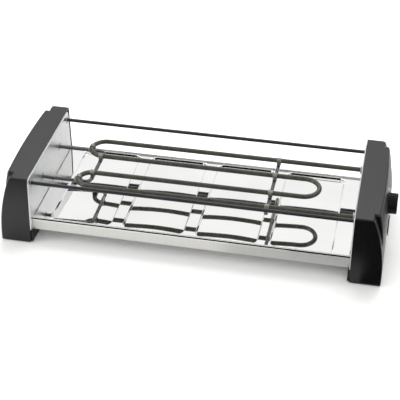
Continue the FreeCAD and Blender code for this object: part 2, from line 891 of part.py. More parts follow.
def side_plate(name, side, holes):
    """A flanged steel plate with four studs on its back."""
    body = new_body(f"{name}_pan")
    outer = new_sketch(body, f"{name}_outer", "YZ_Plane", offset=side * S.plate_reach)
    plate_outline(outer, FLUSH)
    extrude(body, "Pad", outer, S.plate_flange, backwards=side < 0)
    inner = new_sketch(body, f"{name}_inner", "YZ_Plane", offset=side * (S.plate_reach + S.plate_sheet))
    plate_outline(inner, S.plate_sheet)
    extrude(body, "Pocket", inner, S.plate_flange, backwards=side > 0)
    top = (S.housing_height - S.wall - S.plate_gap).value
    sheet = S.plate_sheet.value
    back = (S.plate_reach + S.plate_sheet).value

    def inner_corner(point):
        return abs(point.z - (top - sheet)) < NEAR and abs(point.y) > S.depth_top.value / 2

    def outer_corner(point):
        return abs(point.z - top) < NEAR and abs(point.y) > S.depth_top.value / 2

    def along_x(test):
        return lambda point: test(point) and side * point.x > S.plate_reach.value + NEAR

    def not_top_line(test):
        return lambda point: test(point) and abs(abs(point.y) - corner_depth(point.z)) < NEAR

    def corner_depth(height):
        return wall_depth(height).value - (S.wall + S.plate_gap).value - (sheet if height < top - NEAR else 0)

    soften(body, "Fillet", "Radius", S.plate_corner - S.plate_sheet, not_top_line(along_x(inner_corner)))
    soften(body, "Fillet", "Radius", S.plate_corner, not_top_line(along_x(outer_corner)))
    soften(body, "Fillet", "Radius", S.plate_bend,
           lambda point: abs(side * point.x - S.plate_reach.value) < NEAR)
    studs = []
    for depth, height in stud_places():
        studs.append(cylinder(f"{name}_stud", "X", side * back_of(S.plate_sheet / 2),
                              side * back_of(S.stud_length), (depth, height), S.stud_radius))
    for end in ENDS.values():
        place = (end * S.rod_depth, S.rod_height)
        holes.append(plate_hole(side, place, S.rod_radius + S.rod_hole_fit))
        place = (end * S.tray_screw_depth, S.tray_top - S.tray_screw_drop)
        holes.append(plate_hole(side, place, S.tray_screw_radius + S.screw_fit))
    group(name, [cut(f"{name}_cut", fuse(f"{name}_solid", [body] + studs), holes)])


def back_of(distance):
    """A reach counted from the side plate's inner face outwards."""
    return S.plate_reach + distance


def plate_hole(side, place, radius):
    return cylinder("plate_hole", "X", side * back_of(-S.hole_past),
                    side * back_of(S.plate_sheet + S.hole_past), place, radius)


def stud_places():
    return [(end * S.stud_depth, height) for end in ENDS.values() for height in (S.stud_low, S.stud_high)]


def side_plates():
    legs = [plate_hole(SIDES["left"], (end * leg_depth(), wire_height()), S.wire_radius + S.rod_hole_fit)
            for end in ENDS.values()]
    side_plate("left_side_plate", SIDES["left"], legs)
    bush_hole = S.bush_barrel_radius + S.bush_fit
    bushes = [plate_hole(SIDES["right"], (end * S.outer_run, S.tube_height), bush_hole)
              for end in ENDS.values()]
    side_plate("right_side_plate", SIDES["right"], bushes)
    for label, side in SIDES.items():
        nuts = []
        start = S.lug_reach + S.lug_thickness + S.seat_gap
        for depth, height in stud_places():
            place = (depth, height)
            blank = hexagon("stud_nut_blank", "X", side * start, side * (start + S.nut_height), place,
                            S.nut_radius)
            bore = cylinder("stud_nut_bore", "X", side * (start - S.hole_past),
                            side * (start + S.nut_height + S.hole_past), place,
                            S.stud_radius + S.seat_gap)
            nuts.append(cut("stud_nut", blank, [bore]))
        group(f"{label}_plate_nuts", nuts)


# Reflector tray

def tray_end():
    return S.plate_reach - S.tray_gap


def bay_pitch():
    return (2 * S.plate_reach - S.bay_row_margin) / S.bay_count


def bay_width():
    return bay_pitch() - S.bay_ridge


def reflector_tray():
    """A turned-down sheet with a row of shallow bays pressed into its top."""
    body = new_body("tray_sheet_metal")
    top = new_sketch(body, "tray_outline", "XY_Plane", offset=S.tray_top)
    rectangle(top, both(tray_end()), both(S.tray_depth))
    extrude(body, "Pad", top, S.apron_height, backwards=True)
    under = new_sketch(body, "tray_underside", "XY_Plane", offset=S.tray_top - S.tray_sheet)
    rectangle(under, both(tray_end() - S.tray_sheet), both(S.tray_depth - S.tray_sheet))
    extrude(body, "Pocket", under, S.apron_height)
    soften(body, "Fillet", "Radius", S.fold_radius, lambda point: abs(point.z - S.tray_top.value) < NEAR)
    row = bay_pitch() * (S.bay_count - 1)
    first = -row / 2
    pan = new_sketch(body, "bay_pan", "XY_Plane", offset=S.tray_top - S.bay_drop - S.tray_sheet)
    pan_width, pan_depth = bay_width() / 2 + S.tray_sheet, S.bay_depth + S.tray_sheet
    rectangle(pan, (first - pan_width, first + pan_width), both(pan_depth), S.bay_corner + S.tray_sheet)
    pan_pad = extrude(body, "Pad", pan, S.bay_drop + S.tray_sheet / 2)
    pattern(body, "LinearPattern", pan_pad, {"Direction": (pan, ["H_Axis"])}, row, S.bay_count)
    bay = new_sketch(body, "bay_press", "XY_Plane", offset=S.tray_top)
    rectangle(bay, (first - bay_width() / 2, first + bay_width() / 2), both(S.bay_depth), S.bay_corner)
    bay_cut = extrude(body, "Pocket", bay, S.bay_drop, taper=-S.bay_wall_angle)
    pattern(body, "LinearPattern", bay_cut, {"Direction": (bay, ["H_Axis"])}, row, S.bay_count)
    span = (tray_end() - S.hole_past, tray_end() + S.hole_past)
    holes = [cylinder("tray_screw_hole", "X", side * span[0], side * span[1],
                      tray_screw_place(end), S.tray_screw_radius + S.screw_fit)
             for side in SIDES.values() for end in ENDS.values()]
    group("reflector_tray", [cut("tray_cut", body, holes)])


def tray_screw_place(end):
    return (end * S.tray_screw_depth, S.tray_top - S.tray_screw_drop)


def tray_fixings():
    """Screws from under the tray into nuts behind the side plates."""
    screws, nuts = [], []
    for side in SIDES.values():
        for end in ENDS.values():
            place = tray_screw_place(end)
            seat = tray_end() - S.tray_sheet - S.seat_gap
            head = cylinder("tray_screw_head", "X", side * (seat - S.screw_head_height * 2), side * seat,
                            place, S.screw_head_radius)
            shank = cylinder("tray_screw_shank", "X", side * seat, side * (seat + S.tray_screw_length), place,
                             S.tray_screw_radius)
            screws.append(fuse("tray_screw", [head, shank]))
            start = S.plate_reach + S.plate_sheet + S.seat_gap
            end_of_nut = start + S.nut_height
            blank = hexagon("tray_nut_blank", "X", side * start, side * end_of_nut, place, S.nut_radius)
            bore = cylinder("tray_nut_bore", "X", side * (start - S.hole_past),
                            side * (end_of_nut + S.hole_past), place,
                            S.tray_screw_radius + S.seat_gap)
            nuts.append(cut("tray_nut", blank, [bore]))
    group("tray_screws", screws)
    group("tray_nuts", nuts)


# Heating element and the wires that carry it

def wire_height():
    return S.tube_height - S.tube_radius - S.wire_radius - S.wire_touch


def leg_depth():
    return (S.outer_run + S.inner_run) / 2


def inner_depth(end):
    """An inner run's distance from the middle: the loop of the two lies a little towards the front."""
    return S.inner_run - ENDS[end] * S.inner_aside


def bent_tube(name, height, corners, arcs, radius):
    """A round tube along a flat chain, which starts along X at its first corner."""
    body = new_body(f"{name}_bend")
    route = new_sketch(body, f"{name}_route", "XY_Plane", offset=height)
    chain(route, corners, arcs, closed=False)
    section = new_sketch(body, f"{name}_section", "YZ_Plane", offset=corners[0][0])
    circle(section, corners[0][1], height, radius)
    pipe = body.newObject("PartDesign::AdditivePipe", f"{name}_pipe")
    pipe.Profile = section
    pipe.Spine = (route, [f"Edge{i + 1}" for i in range(len(corners) - 1)])
    return body


def heating_element():
    """One sheathed tube in a W: two runs into the right housing and two joined by a bend at the right."""
    end, left, right = S.tube_end, -S.left_bend, S.right_bend
    outer, rear, front = S.outer_run, inner_depth("rear"), inner_depth("front")
    corners = [
        (end, outer), (left, outer), (left, rear.value), (right, rear),
        (right, -front.value), (left, -front), (left, -outer.value), (end, -outer),
    ]
    arcs = {
        1: {"centre": (left, (outer + rear) / 2), "turn": 1},
        3: {"centre": (right, (rear - front) / 2), "turn": -1},
        5: {"centre": (left, -(outer + front) / 2), "turn": 1},
    }
    tube = bent_tube("element", S.tube_height, corners, arcs, S.tube_radius)
    group("heating_element", [tube])
    pins, seals, bushes = [], [], []
    for side in ENDS.values():
        place = (side * outer, S.tube_height)
        pins.append(cylinder("pin", "X", end, end + S.pin_length, place, S.pin_radius))
        blank = cylinder("seal_blank", "X", end, end + S.seal_length, place, S.tube_radius)
        bore = cylinder("seal_bore", "X", end - S.hole_past, end + S.seal_length + S.hole_past, place,
                        S.pin_radius + S.bush_fit)
        seals.append(cut("seal", blank, [bore]))
        flange = cylinder("bush_flange_solid", "X", back_of(-S.bush_flange - S.seat_gap),
                          back_of(-S.seat_gap), place, S.bush_flange_radius)
        barrel = cylinder("bush_barrel", "X", back_of(-S.seat_gap), back_of(S.bush_length), place,
                          S.bush_barrel_radius)
        bore = cylinder("bush_bore", "X", back_of(-S.bush_flange - S.hole_past),
                        back_of(S.bush_length + S.hole_past), place, S.tube_radius + S.bush_fit)
        bushes.append(cut("bush", fuse("bush_solid", [flange, barrel]), [bore]))
    group("element_pins", pins)
    group("element_seals", seals)
    group("element_bushes", bushes)


def wire_supports():
    """The bracket out of the left plate and the brace under the runs at the right."""
    end, cross, bend, leg = -S.wire_end, -S.cross_wire, S.wire_bend, leg_depth()
    corners = [
        (end, leg), (cross - bend, leg), (cross, leg - bend),
        (cross, -leg + bend), (cross - bend, -leg), (end, -leg),
    ]
    arcs = {1: {"radius": bend, "turn": -1}, 3: {"radius": bend, "turn": -1}}
    group("left_wire_bracket", [bent_tube("bracket", wire_height(), corners, arcs, S.wire_radius)])
    rod_body("right_brace_wire", "XZ_Plane", S.brace_depth, (S.brace_reach, wire_height()), S.wire_radius)
    push_nuts("bracket_push_nuts", [(SIDES["left"], (side * leg, wire_height())) for side in ENDS.values()],
              S.wire_radius)


def clip(name, x, y, along, fit):
    """A sheet strap over the tube whose legs end in a sleeve round the wire."""
    middles = {"X": x, "Y": y}
    reach = {axis: (place - S.clip_width / 2, place + S.clip_width / 2) for axis, place in middles.items()}
    sleeve = {axis: (place - S.clip_sleeve / 2, place + S.clip_sleeve / 2) for axis, place in middles.items()}
    across = "Y" if along == "X" else "X"
    middle = {"X": y, "Y": x}
    strap_radius = S.tube_radius + fit + S.clip_sheet
    sleeve_radius = S.wire_radius + S.clip_fit + S.clip_sheet
    strap = cylinder(f"{name}_strap", along, *reach[along], (middle[along], S.tube_height), strap_radius)
    wrap = cylinder(f"{name}_wrap", across, *sleeve[across], (middle[across], wire_height()), sleeve_radius)
    sides = (middle[along] - strap_radius, middle[along] + strap_radius)
    spans = {along: reach[along], across: sides}
    legs = box(f"{name}_legs", spans["X"], spans["Y"], (wire_height(), S.tube_height))
    tube_room = cylinder(f"{name}_tube_room", along, reach[along][0] - S.hole_past,
                         reach[along][1] + S.hole_past, (middle[along], S.tube_height), S.tube_radius + fit)
    wire_room = cylinder(f"{name}_wire_room", across, sleeve[across][0] - S.hole_past,
                         sleeve[across][1] + S.hole_past, (middle[across], wire_height()),
                         S.wire_radius + S.clip_fit)
    group(name, [cut(f"{name}_cut", fuse(f"{name}_solid", [strap, wrap, legs]), [tube_room, wire_room])])


def clips():
    runs = {"rear_outer": S.outer_run, "rear_inner": inner_depth("rear"),
            "front_inner": -inner_depth("front"), "front_outer": -S.outer_run}
    for label, depth in runs.items():
        clip(f"{label}_brace_clip", S.brace_reach, depth, "X", S.clip_fit)
    for label, end in ENDS.items():
        tip = -(S.left_bend + (S.outer_run - inner_depth(label)) / 2)
        clip(f"{label}_bend_clip", tip, end * leg_depth(), "Y", S.bend_clip_fit)
        clip(f"{label}_cross_clip", -S.cross_wire, end * inner_depth(label), "X", S.cross_clip_fit)


# Rods

def rod_body(name, plane, half_length, place, radius):
    """A straight wire across a plane, its ends chamfered."""
    body = new_body(f"{name}_bar")
    section = new_sketch(body, f"{name}_section", plane)
    circle(section, *place, radius)
    extrude(body, "Pad", section, 2 * half_length, both_ways=True)
    soften(body, "Chamfer", "Size", S.rod_chamfer, lambda point: True)
    group(name, [body])


def push_nuts(name, places, radius):
    """Pressed washers that hold a wire's end behind a side plate."""
    start = S.plate_reach + S.plate_sheet + S.seat_gap
    nuts = []
    for side, place in places:
        span = (side * start, side * (start + S.push_nut_height))
        blank = cylinder("push_nut_blank", "X", *span, place, S.push_nut_radius)
        bore = cylinder("push_nut_bore", "X", side * (start - S.hole_past),
                        side * (start + S.push_nut_height + S.hole_past), place,
                        radius + S.bush_fit)
        nuts.append(cut("push_nut", blank, [bore]))
    group(name, nuts)


def rods():
    for label, end in ENDS.items():
        rod_body(f"{label}_rod", "YZ_Plane", S.wire_end, (end * S.rod_depth, S.rod_height), S.rod_radius)
    places = [(side, (end * S.rod_depth, S.rod_height)) for side in SIDES.values() for end in ENDS.values()]
    push_nuts("rod_push_nuts", places, S.rod_radius)


# Knob, spindle and thermostat

def control_knob():
    """A fluted knob with a hollow back, a hub with a flatted bore and a pointer groove on its face."""
    body = new_body("knob_moulding")
    height = S.control_height
    back = S.recess_floor + S.knob_gap
    disc = new_sketch(body, "knob_disc", "YZ_Plane", offset=back)
    circle(disc, MIDDLE, height, S.knob_radius)
    extrude(body, "Pad", disc, S.knob_front - back)
    soften(body, "Fillet", "Radius", S.knob_round, lambda point: abs(point.x - S.knob_front.value) < NEAR)
    flute = new_sketch(body, "knob_flute", "YZ_Plane", offset=S.knob_front - S.flute_margin,
                       slide=(MIDDLE, height))
    circle(flute, MIDDLE, S.knob_radius + S.flute_radius / 3, S.flute_radius)
    flute_cut = extrude(body, "Pocket", flute, S.knob_front - back - 2 * S.flute_margin)
    turn = {"Axis": (flute, ["N_Axis"]), "Angle": 360.0}
    pattern(body, "PolarPattern", flute_cut, turn, None, S.flute_count)
    inside = S.knob_front - S.knob_face
    hollow = new_sketch(body, "knob_hollow", "YZ_Plane", offset=inside)
    circle(hollow, MIDDLE, height, S.knob_radius - S.knob_skirt)
    extrude(body, "Pocket", hollow, S.knob_front - back)
    hub = new_sketch(body, "knob_hub", "YZ_Plane", offset=inside)
    circle(hub, MIDDLE, height, S.knob_hub_radius)
    hub_back = S.recess_floor + S.collar_proud + S.knob_gap
    extrude(body, "Pad", hub, inside - hub_back, backwards=True)
    bore_end = hub_back + S.knob_bore_depth
    bore = new_sketch(body, "knob_bore", "YZ_Plane", offset=bore_end)
    circle(bore, MIDDLE, height, S.spindle_radius + S.spindle_fit)
    extrude(body, "Pocket", bore, S.knob_bore_depth + S.cut_past)
    pointer = new_sketch(body, "knob_pointer", "YZ_Plane", offset=S.knob_front)
    rectangle(pointer, both(S.pointer_width / 2), (height + S.pointer_start, height + S.pointer_end))
    extrude(body, "Pocket", pointer, S.pointer_depth)
    key = box("knob_key", (hub_back, bore_end), both(S.spindle_radius),
              (height + S.spindle_flat + S.spindle_fit, height + S.spindle_radius + 2 * S.spindle_fit))
    group("control_knob", [fuse("knob_solid", [body, key])])
    flat_start = hub_back - S.seat_gap
    shaft = cylinder("spindle_shaft", "X", S.spindle_start, bore_end - S.seat_gap, (MIDDLE, height),
                     S.spindle_radius)
    flat = box("spindle_flat_cut", (flat_start, S.knob_front), both(S.knob_hub_radius),
               (height + S.spindle_flat, height + S.knob_hub_radius))
    group("thermostat_spindle", [cut("spindle_cut", shaft, [flat])])
    ring_span = (hub_back + S.spring_width / 2, hub_back + S.spring_width * 1.5)
    ring = cylinder("spring_outer", "X", *ring_span, (MIDDLE, height),
                    S.knob_hub_radius + S.seat_gap + S.spring_ring)
    hole = cylinder("spring_inner", "X", hub_back, S.knob_front, (MIDDLE, height),
                    S.knob_hub_radius + S.seat_gap)
    gap = box("spring_gap_cut", (hub_back, S.knob_front), both(S.spring_gap / 2), (MIDDLE, height))
    group("knob_spring_clip", [cut("spring_cut", ring, [hole, gap])])


def thermostat():
    """The switch body behind the knob, with a collar through the housing, two blades and two screws."""
    height = S.control_height
    front = S.recess_floor - S.recess_sheet - S.thermostat_gap
    face = front - S.thermostat_face
    back = face - S.thermostat_length
    half_depth, half_width = S.thermostat_depth / 2, S.thermostat_width / 2
    case = box("thermostat_case", (back, face), both(half_depth), (height - half_width, height + half_width))
    plate = box("thermostat_plate", (face, front), both(half_depth + S.thermostat_ear),
                (height - half_width / 2, height + half_width / 2))
    collar = cylinder("thermostat_collar", "X", front, S.recess_floor + S.collar_proud, (MIDDLE, height),
                      S.collar_radius)
    blades = [box("thermostat_blade", (back - S.blade_length, back),
                  (depth - S.blade_width / 2, depth + S.blade_width / 2),
                  (height - S.blade_sheet / 2, height + S.blade_sheet / 2)) for depth in blade_depths()]
    bores = [cylinder("thermostat_bore", "X", S.spindle_start - S.seat_gap, S.knob_front, (MIDDLE, height),
                      S.spindle_radius + S.spindle_fit)]
    screws = []
    for end in ENDS.values():
        place = (end * S.thermostat_screw_depth, height)
        start = S.recess_floor - S.thermostat_screw_length
        shank = cylinder("thermostat_screw_shank", "X", start, S.recess_floor - S.screw_fit, place,
                         S.thermostat_screw_radius)
        screws.append(fuse("thermostat_screw", [shank, countersink("thermostat_screw_cone", place, FLUSH)]))
        bores.append(cylinder("thermostat_tap", "X", start - S.seat_gap, S.knob_front, place,
                              S.thermostat_screw_radius + S.seat_gap))
    solid = fuse("thermostat_solid", [case, plate, collar] + blades)
    group("thermostat_body", [cut("thermostat_cut", solid, bores)])
    group("thermostat_screws", screws)


def blade_depths():
    return [-S.blade_spacing, S.blade_spacing]


def blade_back():
    """Reach of the free ends of the thermostat's blades."""
    case_back = S.recess_floor - S.recess_sheet - S.thermostat_gap - S.thermostat_face - S.thermostat_length
    return case_back - S.blade_length


# Pilot lamp

def pilot():
    place = (MIDDLE, S.lens_height)
    stem = cylinder("lens_stem", "X", S.lens_seat - S.seat_gap, S.lens_tip, place, S.lens_radius)
    dome = doc.addObject("Part::Fillet", "lens_dome")
    dome.Base = stem
    doc.recompute()
    rim = next(i for i, edge in enumerate(stem.Shape.Edges, start=1)
               if all(abs(point.x - S.lens_tip.value) < NEAR for point in samples(edge)))
    dome.Edges = [(rim, S.lens_round.value, S.lens_round.value)]
    flange = cylinder("lens_flange_solid", "X", S.lens_seat - S.lens_flange, S.lens_seat, place,
                      S.lens_flange_radius)
    group("pilot_lens", [fuse("lens_solid", [dome, flange])])
    lamp_front = S.lens_seat - S.lens_flange - S.seat_gap
    bulb = cylinder("lamp_bulb", "X", lamp_front - S.lamp_length, lamp_front, place, S.lamp_radius)
    group("pilot_lamp", [bulb])


# Cord inlet and what it leads to

def cord_inlet():
    """A ribbed bush in the housing's end, its nut inside and the clamp behind it."""
    body = new_body("inlet_turned")
    profile = new_sketch(body, "inlet_profile", "XZ_Plane", slide=(MIDDLE, inlet_height()))
    face = S.inlet_back + S.inlet_flange
    corners = [(S.inlet_stem_end, S.inlet_bore), (S.inlet_stem_end, S.inlet_stem_radius),
               (S.inlet_back, S.inlet_stem_radius), (S.inlet_back, S.inlet_radius), (face, S.inlet_radius)]
    radius = S.inlet_radius
    for _ in range(int(S.inlet_ribs.value)):
        crest = radius - S.inlet_rib_pitch / 4
        corners += [(face + S.inlet_rib, crest), (face + S.inlet_rib, crest - S.inlet_rib_pitch / 4),
                    (face, radius - S.inlet_rib_pitch * 0.75)]
        radius = radius - S.inlet_rib_pitch
        corners += [(face, radius)] if radius.value > S.inlet_bore.value else []
    corners[-1] = (face, S.inlet_bore)
    chain(profile, corners)
    turned = body.newObject("PartDesign::Revolution", "inlet_turning")
    turned.Profile = profile
    turned.ReferenceAxis = (profile, ["H_Axis"])
    turned.Angle = 360.0
    group("cord_inlet_bush", [body])
    place = (MIDDLE, inlet_height())
    start = S.inlet_nut_seat - S.inlet_nut
    blank = hexagon("inlet_nut_blank", "X", start, S.inlet_nut_seat, place, S.inlet_nut_radius)
    bore = cylinder("inlet_nut_bore", "X", start - S.hole_past, S.inlet_nut_seat + S.hole_past, place,
                    S.inlet_stem_radius + S.seat_gap)
    group("inlet_bush_nut", [cut("inlet_nut_cut", blank, [bore])])
    seat = clamp_seat() + S.seat_gap
    bar = box("clamp_bar_solid", (S.clamp_near, S.clamp_far), both(S.clamp_depth), (seat, seat + S.clamp_bar))
    holes, screws = [], []
    for place in clamp_screw_places():
        holes.append(cylinder("clamp_hole", "Z", seat - S.hole_past, seat + S.clamp_bar + S.hole_past, place,
                              S.clamp_screw_radius + S.screw_fit))
        top = seat + S.clamp_bar + S.seat_gap
        head = cylinder("clamp_screw_head_solid", "Z", top, top + S.screw_head_height * 1.5, place,
                        S.clamp_screw_head)
        shank = cylinder("clamp_screw_shank", "Z", top - S.clamp_screw_length, top, place,
                         S.clamp_screw_radius)
        screws.append(fuse("clamp_screw", [head, shank]))
    group("cord_clamp", [cut("clamp_cut", bar, holes)])
    group("cord_clamp_screws", screws)


def block_top():
    return cover_top() + S.block_pad + S.seat_gap + S.block_height


def block_lead_depth(share):
    """Depth of a lead on the terminal block, a share of the way along it."""
    return -(S.block_start + S.block_length * share)


def electrics():
    """Terminal block, thermal cutout on the side plate, and the earth tab on a stud."""
    foot_of_block = cover_top() + S.block_pad + S.seat_gap
    block = box("block_solid", (S.block_near, S.block_far), (block_lead_depth(0), block_lead_depth(1)),
                (foot_of_block, block_top()))
    wells = [cylinder("block_well", "Z", block_top() - S.block_well_depth, block_top() + S.hole_past,
                      (S.block_near + S.block_well_step, block_lead_depth(share)), S.block_well_radius)
             for share in WELL_SHARES.values()]
    group("terminal_block", [cut("block_cut", block, wells)])
    place = (S.cutout_depth, S.cutout_height)
    start = S.plate_reach + S.plate_sheet + S.seat_gap
    face = start + S.cutout_length
    disc = cylinder("cutout_disc", "X", start, face, place, S.cutout_radius)
    blades = [box("cutout_blade_solid", (face, face + S.cutout_blade),
                  (S.cutout_depth - S.blade_width / 2, S.cutout_depth + S.blade_width / 2),
                  (S.cutout_height + end * S.cutout_radius / 2, S.cutout_height + end * (S.cutout_radius / 2
                                                                                       + S.blade_sheet)))
              for end in ENDS.values()]
    group("thermal_cutout", [fuse("cutout_solid", [disc] + blades)])
    stud = (-S.stud_depth, S.stud_low)
    ring = cylinder("earth_ring_solid", "X", start, start + S.earth_sheet, stud, S.earth_ring)
    tail = box("earth_tail_solid", (start, start + S.earth_sheet), (stud[0], stud[0] + S.earth_tail),
               (S.stud_low - S.blade_width / 2, S.stud_low + S.blade_width / 2))
    bore = cylinder("earth_bore", "X", start - S.hole_past, start + S.earth_sheet + S.hole_past, stud,
                    S.stud_radius + S.seat_gap)
    group("earth_tab", [cut("earth_cut", fuse("earth_solid", [ring, tail]), [bore])])


def lead(name, points):
    """An insulated wire through the points (x, y, z), its corners rounded."""
    route = [Vector(*(as_size(size).value for size in point)) for point in points]
    edges = []
    at = route[0]
    for before, corner, after in zip(route, route[1:], route[2:]):
        inward, outward = (corner - before).normalize(), (after - corner).normalize()
        half_turn = inward.getAngle(outward) / 2
        room = min((corner - before).Length, (after - corner).Length) * LEAD_ROOM
        tangent = min(S.lead_bend.value * math.tan(half_turn), room)
        start, end = corner - inward * tangent, corner + outward * tangent
        radius = tangent / math.tan(half_turn)
        centre = corner + (outward - inward).normalize() * math.hypot(radius, tangent)
        middle = centre + (corner - centre).normalize() * radius
        edges.append(Part.LineSegment(at, start).toShape())
        edges.append(Part.Arc(start, middle, end).toShape())
        at = end
    edges.append(Part.LineSegment(at, route[-1]).toShape())
    section = Part.Wire([Part.makeCircle(S.lead_radius.value, route[0], route[1] - route[0])])
    wire = doc.addObject("Part::Feature", name)
    wire.Shape = Part.Wire(edges).makePipeShell([section], True, False)
    wire.Placement = Placement(Vector(SHIFT.value, 0, 0), Rotation())
    wire.Label = name
    NODES.append(wire)


def leads():
    """The wires from the terminal block to the switch, the cutout, the element's pins and the earth."""
    top = block_top() + S.seat_gap
    well = top - S.block_well_depth
    block_x = S.block_near + S.block_well_step
    live, earth, neutral = (block_lead_depth(share) for share in WELL_SHARES.values())
    blade = blade_back() - S.seat_gap
    behind = blade - S.lead_stub
    low, high = blade_depths()
    control = S.control_height
    cutout_face = back_of(S.plate_sheet + S.seat_gap + S.cutout_length + S.cutout_blade + S.seat_gap)
    upper, lower = (S.cutout_height + end * S.cutout_radius / 2 for end in (1, -1))
    pin = S.tube_end + S.pin_length - S.pin_inset
    pin_underside = S.tube_height - S.pin_radius - S.seat_gap
    lead("live_lead", [(block_x, live, well), (block_x, live, top + S.lead_rise),
                       (blade - S.live_back, low - S.lead_sag, control - S.lead_drop),
                       (behind, low, control), (blade, low, control)])
    lead("thermostat_lead", [(blade, high, control), (behind, high, control),
                             (cutout_face + S.thermostat_lead_start, high + S.lead_drop, lower - S.lead_sag),
                             (cutout_face + S.thermostat_lead_out, S.cutout_depth, lower),
                             (cutout_face, S.cutout_depth, lower)])
    lead("cutout_lead", [(cutout_face, S.cutout_depth, upper),
                         (cutout_face + S.cutout_lead_out, S.cutout_depth, upper),
                         (S.tube_end, S.outer_run - S.lead_aside, S.tube_height - S.lead_drop),
                         (pin, S.outer_run, S.tube_height - S.pin_drop), (pin, S.outer_run, pin_underside)])
    lead("neutral_lead", [(block_x, neutral, well), (block_x, neutral, top + S.lead_rise),
                          (S.tube_end, -S.outer_run, S.tube_height - S.neutral_dip),
                          (pin, -S.outer_run, S.tube_height - S.lead_drop),
                          (pin, -S.outer_run, pin_underside)])
    tail_end = -S.stud_depth + S.earth_tail
    earth_face = back_of(S.plate_sheet + S.earth_sheet + S.lead_radius + S.seat_gap)
    lead("earth_lead", [(block_x, earth, well), (block_x, earth, top + S.earth_rise),
                        (earth_face + S.earth_step, block_lead_depth(EARTH_TURN_SHARE),
                         S.stud_low + S.earth_lift),
                        (earth_face, tail_end, S.stud_low),
                        (earth_face, tail_end - S.lead_aside, S.stud_low)])


# Building, checking and writing

def build():
    housings()
    covers_and_feet()
    side_plates()
    reflector_tray()
    tray_fixings()
    heating_element()
    wire_supports()
    clips()
    rods()
    control_knob()
    thermostat()
    pilot()
    cord_inlet()
    electrics()
    leads()
    doc.recompute()


def check():
    """Stops if an object failed or a sub-part's shape isn't a sound solid."""
    failed = [item.Name for item in doc.Objects if {"Invalid", "Error"} & set(item.State)]
    for item in doc.Objects:
        if item.TypeId == "Part::MultiFuse":
            largest = max(part.Shape.Volume for part in item.Shapes)
            if item.Shape.Volume < largest + NEAR:
                failed.append(item.Name)
    for node in NODES:
        shape = node.Shape
        if shape.isNull() or not shape.isValid() or not shape.Solids:
            failed.append(node.Label)
    if failed:
        raise RuntimeError(f"these did not build: {failed}")


def write():
    os.makedirs("parts", exist_ok=True)
    for node in NODES:
        node.Shape.exportStep(f"parts/{node.Label}.step")
        print(f"{node.Label}: {len(node.Shape.Solids)} solids, {node.Shape.Volume:.1f} mm3")


build()
check()
write()
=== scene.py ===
"""Looks for the base of a long table raclette grill, built around its packed construction model."""
import math

import bmesh
import bpy
from mathutils import Matrix, Vector


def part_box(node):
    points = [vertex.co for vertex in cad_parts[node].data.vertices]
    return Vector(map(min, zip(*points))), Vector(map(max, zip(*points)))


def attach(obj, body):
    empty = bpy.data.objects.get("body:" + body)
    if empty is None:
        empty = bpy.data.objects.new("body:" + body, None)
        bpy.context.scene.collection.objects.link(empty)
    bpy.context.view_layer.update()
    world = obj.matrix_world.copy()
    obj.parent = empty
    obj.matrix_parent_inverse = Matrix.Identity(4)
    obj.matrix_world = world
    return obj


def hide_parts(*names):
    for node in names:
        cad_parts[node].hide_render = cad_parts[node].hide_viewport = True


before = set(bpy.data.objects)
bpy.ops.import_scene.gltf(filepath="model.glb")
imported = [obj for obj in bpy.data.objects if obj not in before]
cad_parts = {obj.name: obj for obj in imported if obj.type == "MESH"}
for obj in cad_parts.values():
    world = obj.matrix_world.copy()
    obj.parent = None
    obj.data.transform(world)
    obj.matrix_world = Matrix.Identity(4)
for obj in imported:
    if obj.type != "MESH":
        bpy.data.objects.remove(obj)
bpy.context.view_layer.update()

MM = 0.001
AXES = {"X": Vector((1, 0, 0)), "Y": Vector((0, 1, 0)), "Z": Vector((0, 0, 1))}
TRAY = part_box("reflector_tray")
MIDDLE = (TRAY[0].x + TRAY[1].x) / 2
# How far the side plates' shown faces stand from the middle
PLATE_FACE = 214.9 * MM
# Edges flatter than this are shaded smooth, and points nearer than TINY count as one
SMOOTH = math.radians(35)
TINY = 0.02 * MM


def at(x, y, z):
    """A point given in millimetres from the middle between the side plates, on the table."""
    return Vector((MIDDLE + x * MM, y * MM, z * MM))


# Modelling helpers

def only(piece):
    """Leaves this piece alone selected and active."""
    bpy.ops.object.select_all(action="DESELECT")
    piece.select_set(True)
    bpy.context.view_layer.objects.active = piece


def start(name, primitive, reach=(1, 1, 1), **settings):
    """A primitive at its place and size, with both in its mesh, in edit mode with nothing selected."""
    bpy.ops.object.select_all(action="DESELECT")
    primitive(**settings)
    piece = bpy.context.object
    piece.name = piece.data.name = name
    piece.scale = reach
    bpy.ops.object.transform_apply(location=True, rotation=True, scale=True)
    bpy.ops.object.mode_set(mode="EDIT")
    bpy.ops.mesh.select_all(action="DESELECT")
    return piece


def choose(piece, kind, test):
    """Selects those verts, edges or faces of the piece in edit mode that pass the test."""
    bpy.ops.mesh.select_mode(type={"verts": "VERT", "edges": "EDGE", "faces": "FACE"}[kind])
    bpy.ops.mesh.select_all(action="DESELECT")
    mesh = bmesh.from_edit_mesh(piece.data)
    mesh.normal_update()
    chosen = [item for item in getattr(mesh, kind) if test(item)]
    for item in chosen:
        item.select_set(True)
    mesh.select_flush_mode()
    bmesh.update_edit_mesh(piece.data)
    return len(chosen)


def flat_at(item, height):
    """Whether an edge or face lies level at that height."""
    return all(abs(vertex.co.z - height) < TINY for vertex in item.verts)


def middle_of(item):
    """The middle of an edge or face, or the place of a vertex."""
    if isinstance(item, bmesh.types.BMVert):
        return item.co
    return sum((vertex.co for vertex in item.verts), Vector()) / len(item.verts)


def turned(axis):
    """The rotation that stands a primitive's own Z along an axis."""
    return {"X": (0, math.pi / 2, 0), "Y": (math.pi / 2, 0, 0), "Z": (0, 0, 0)}[axis]


def slide(x=0.0, y=0.0, z=0.0):
    """Moves what is selected by a step."""
    bpy.ops.transform.translate(value=(x, y, z))


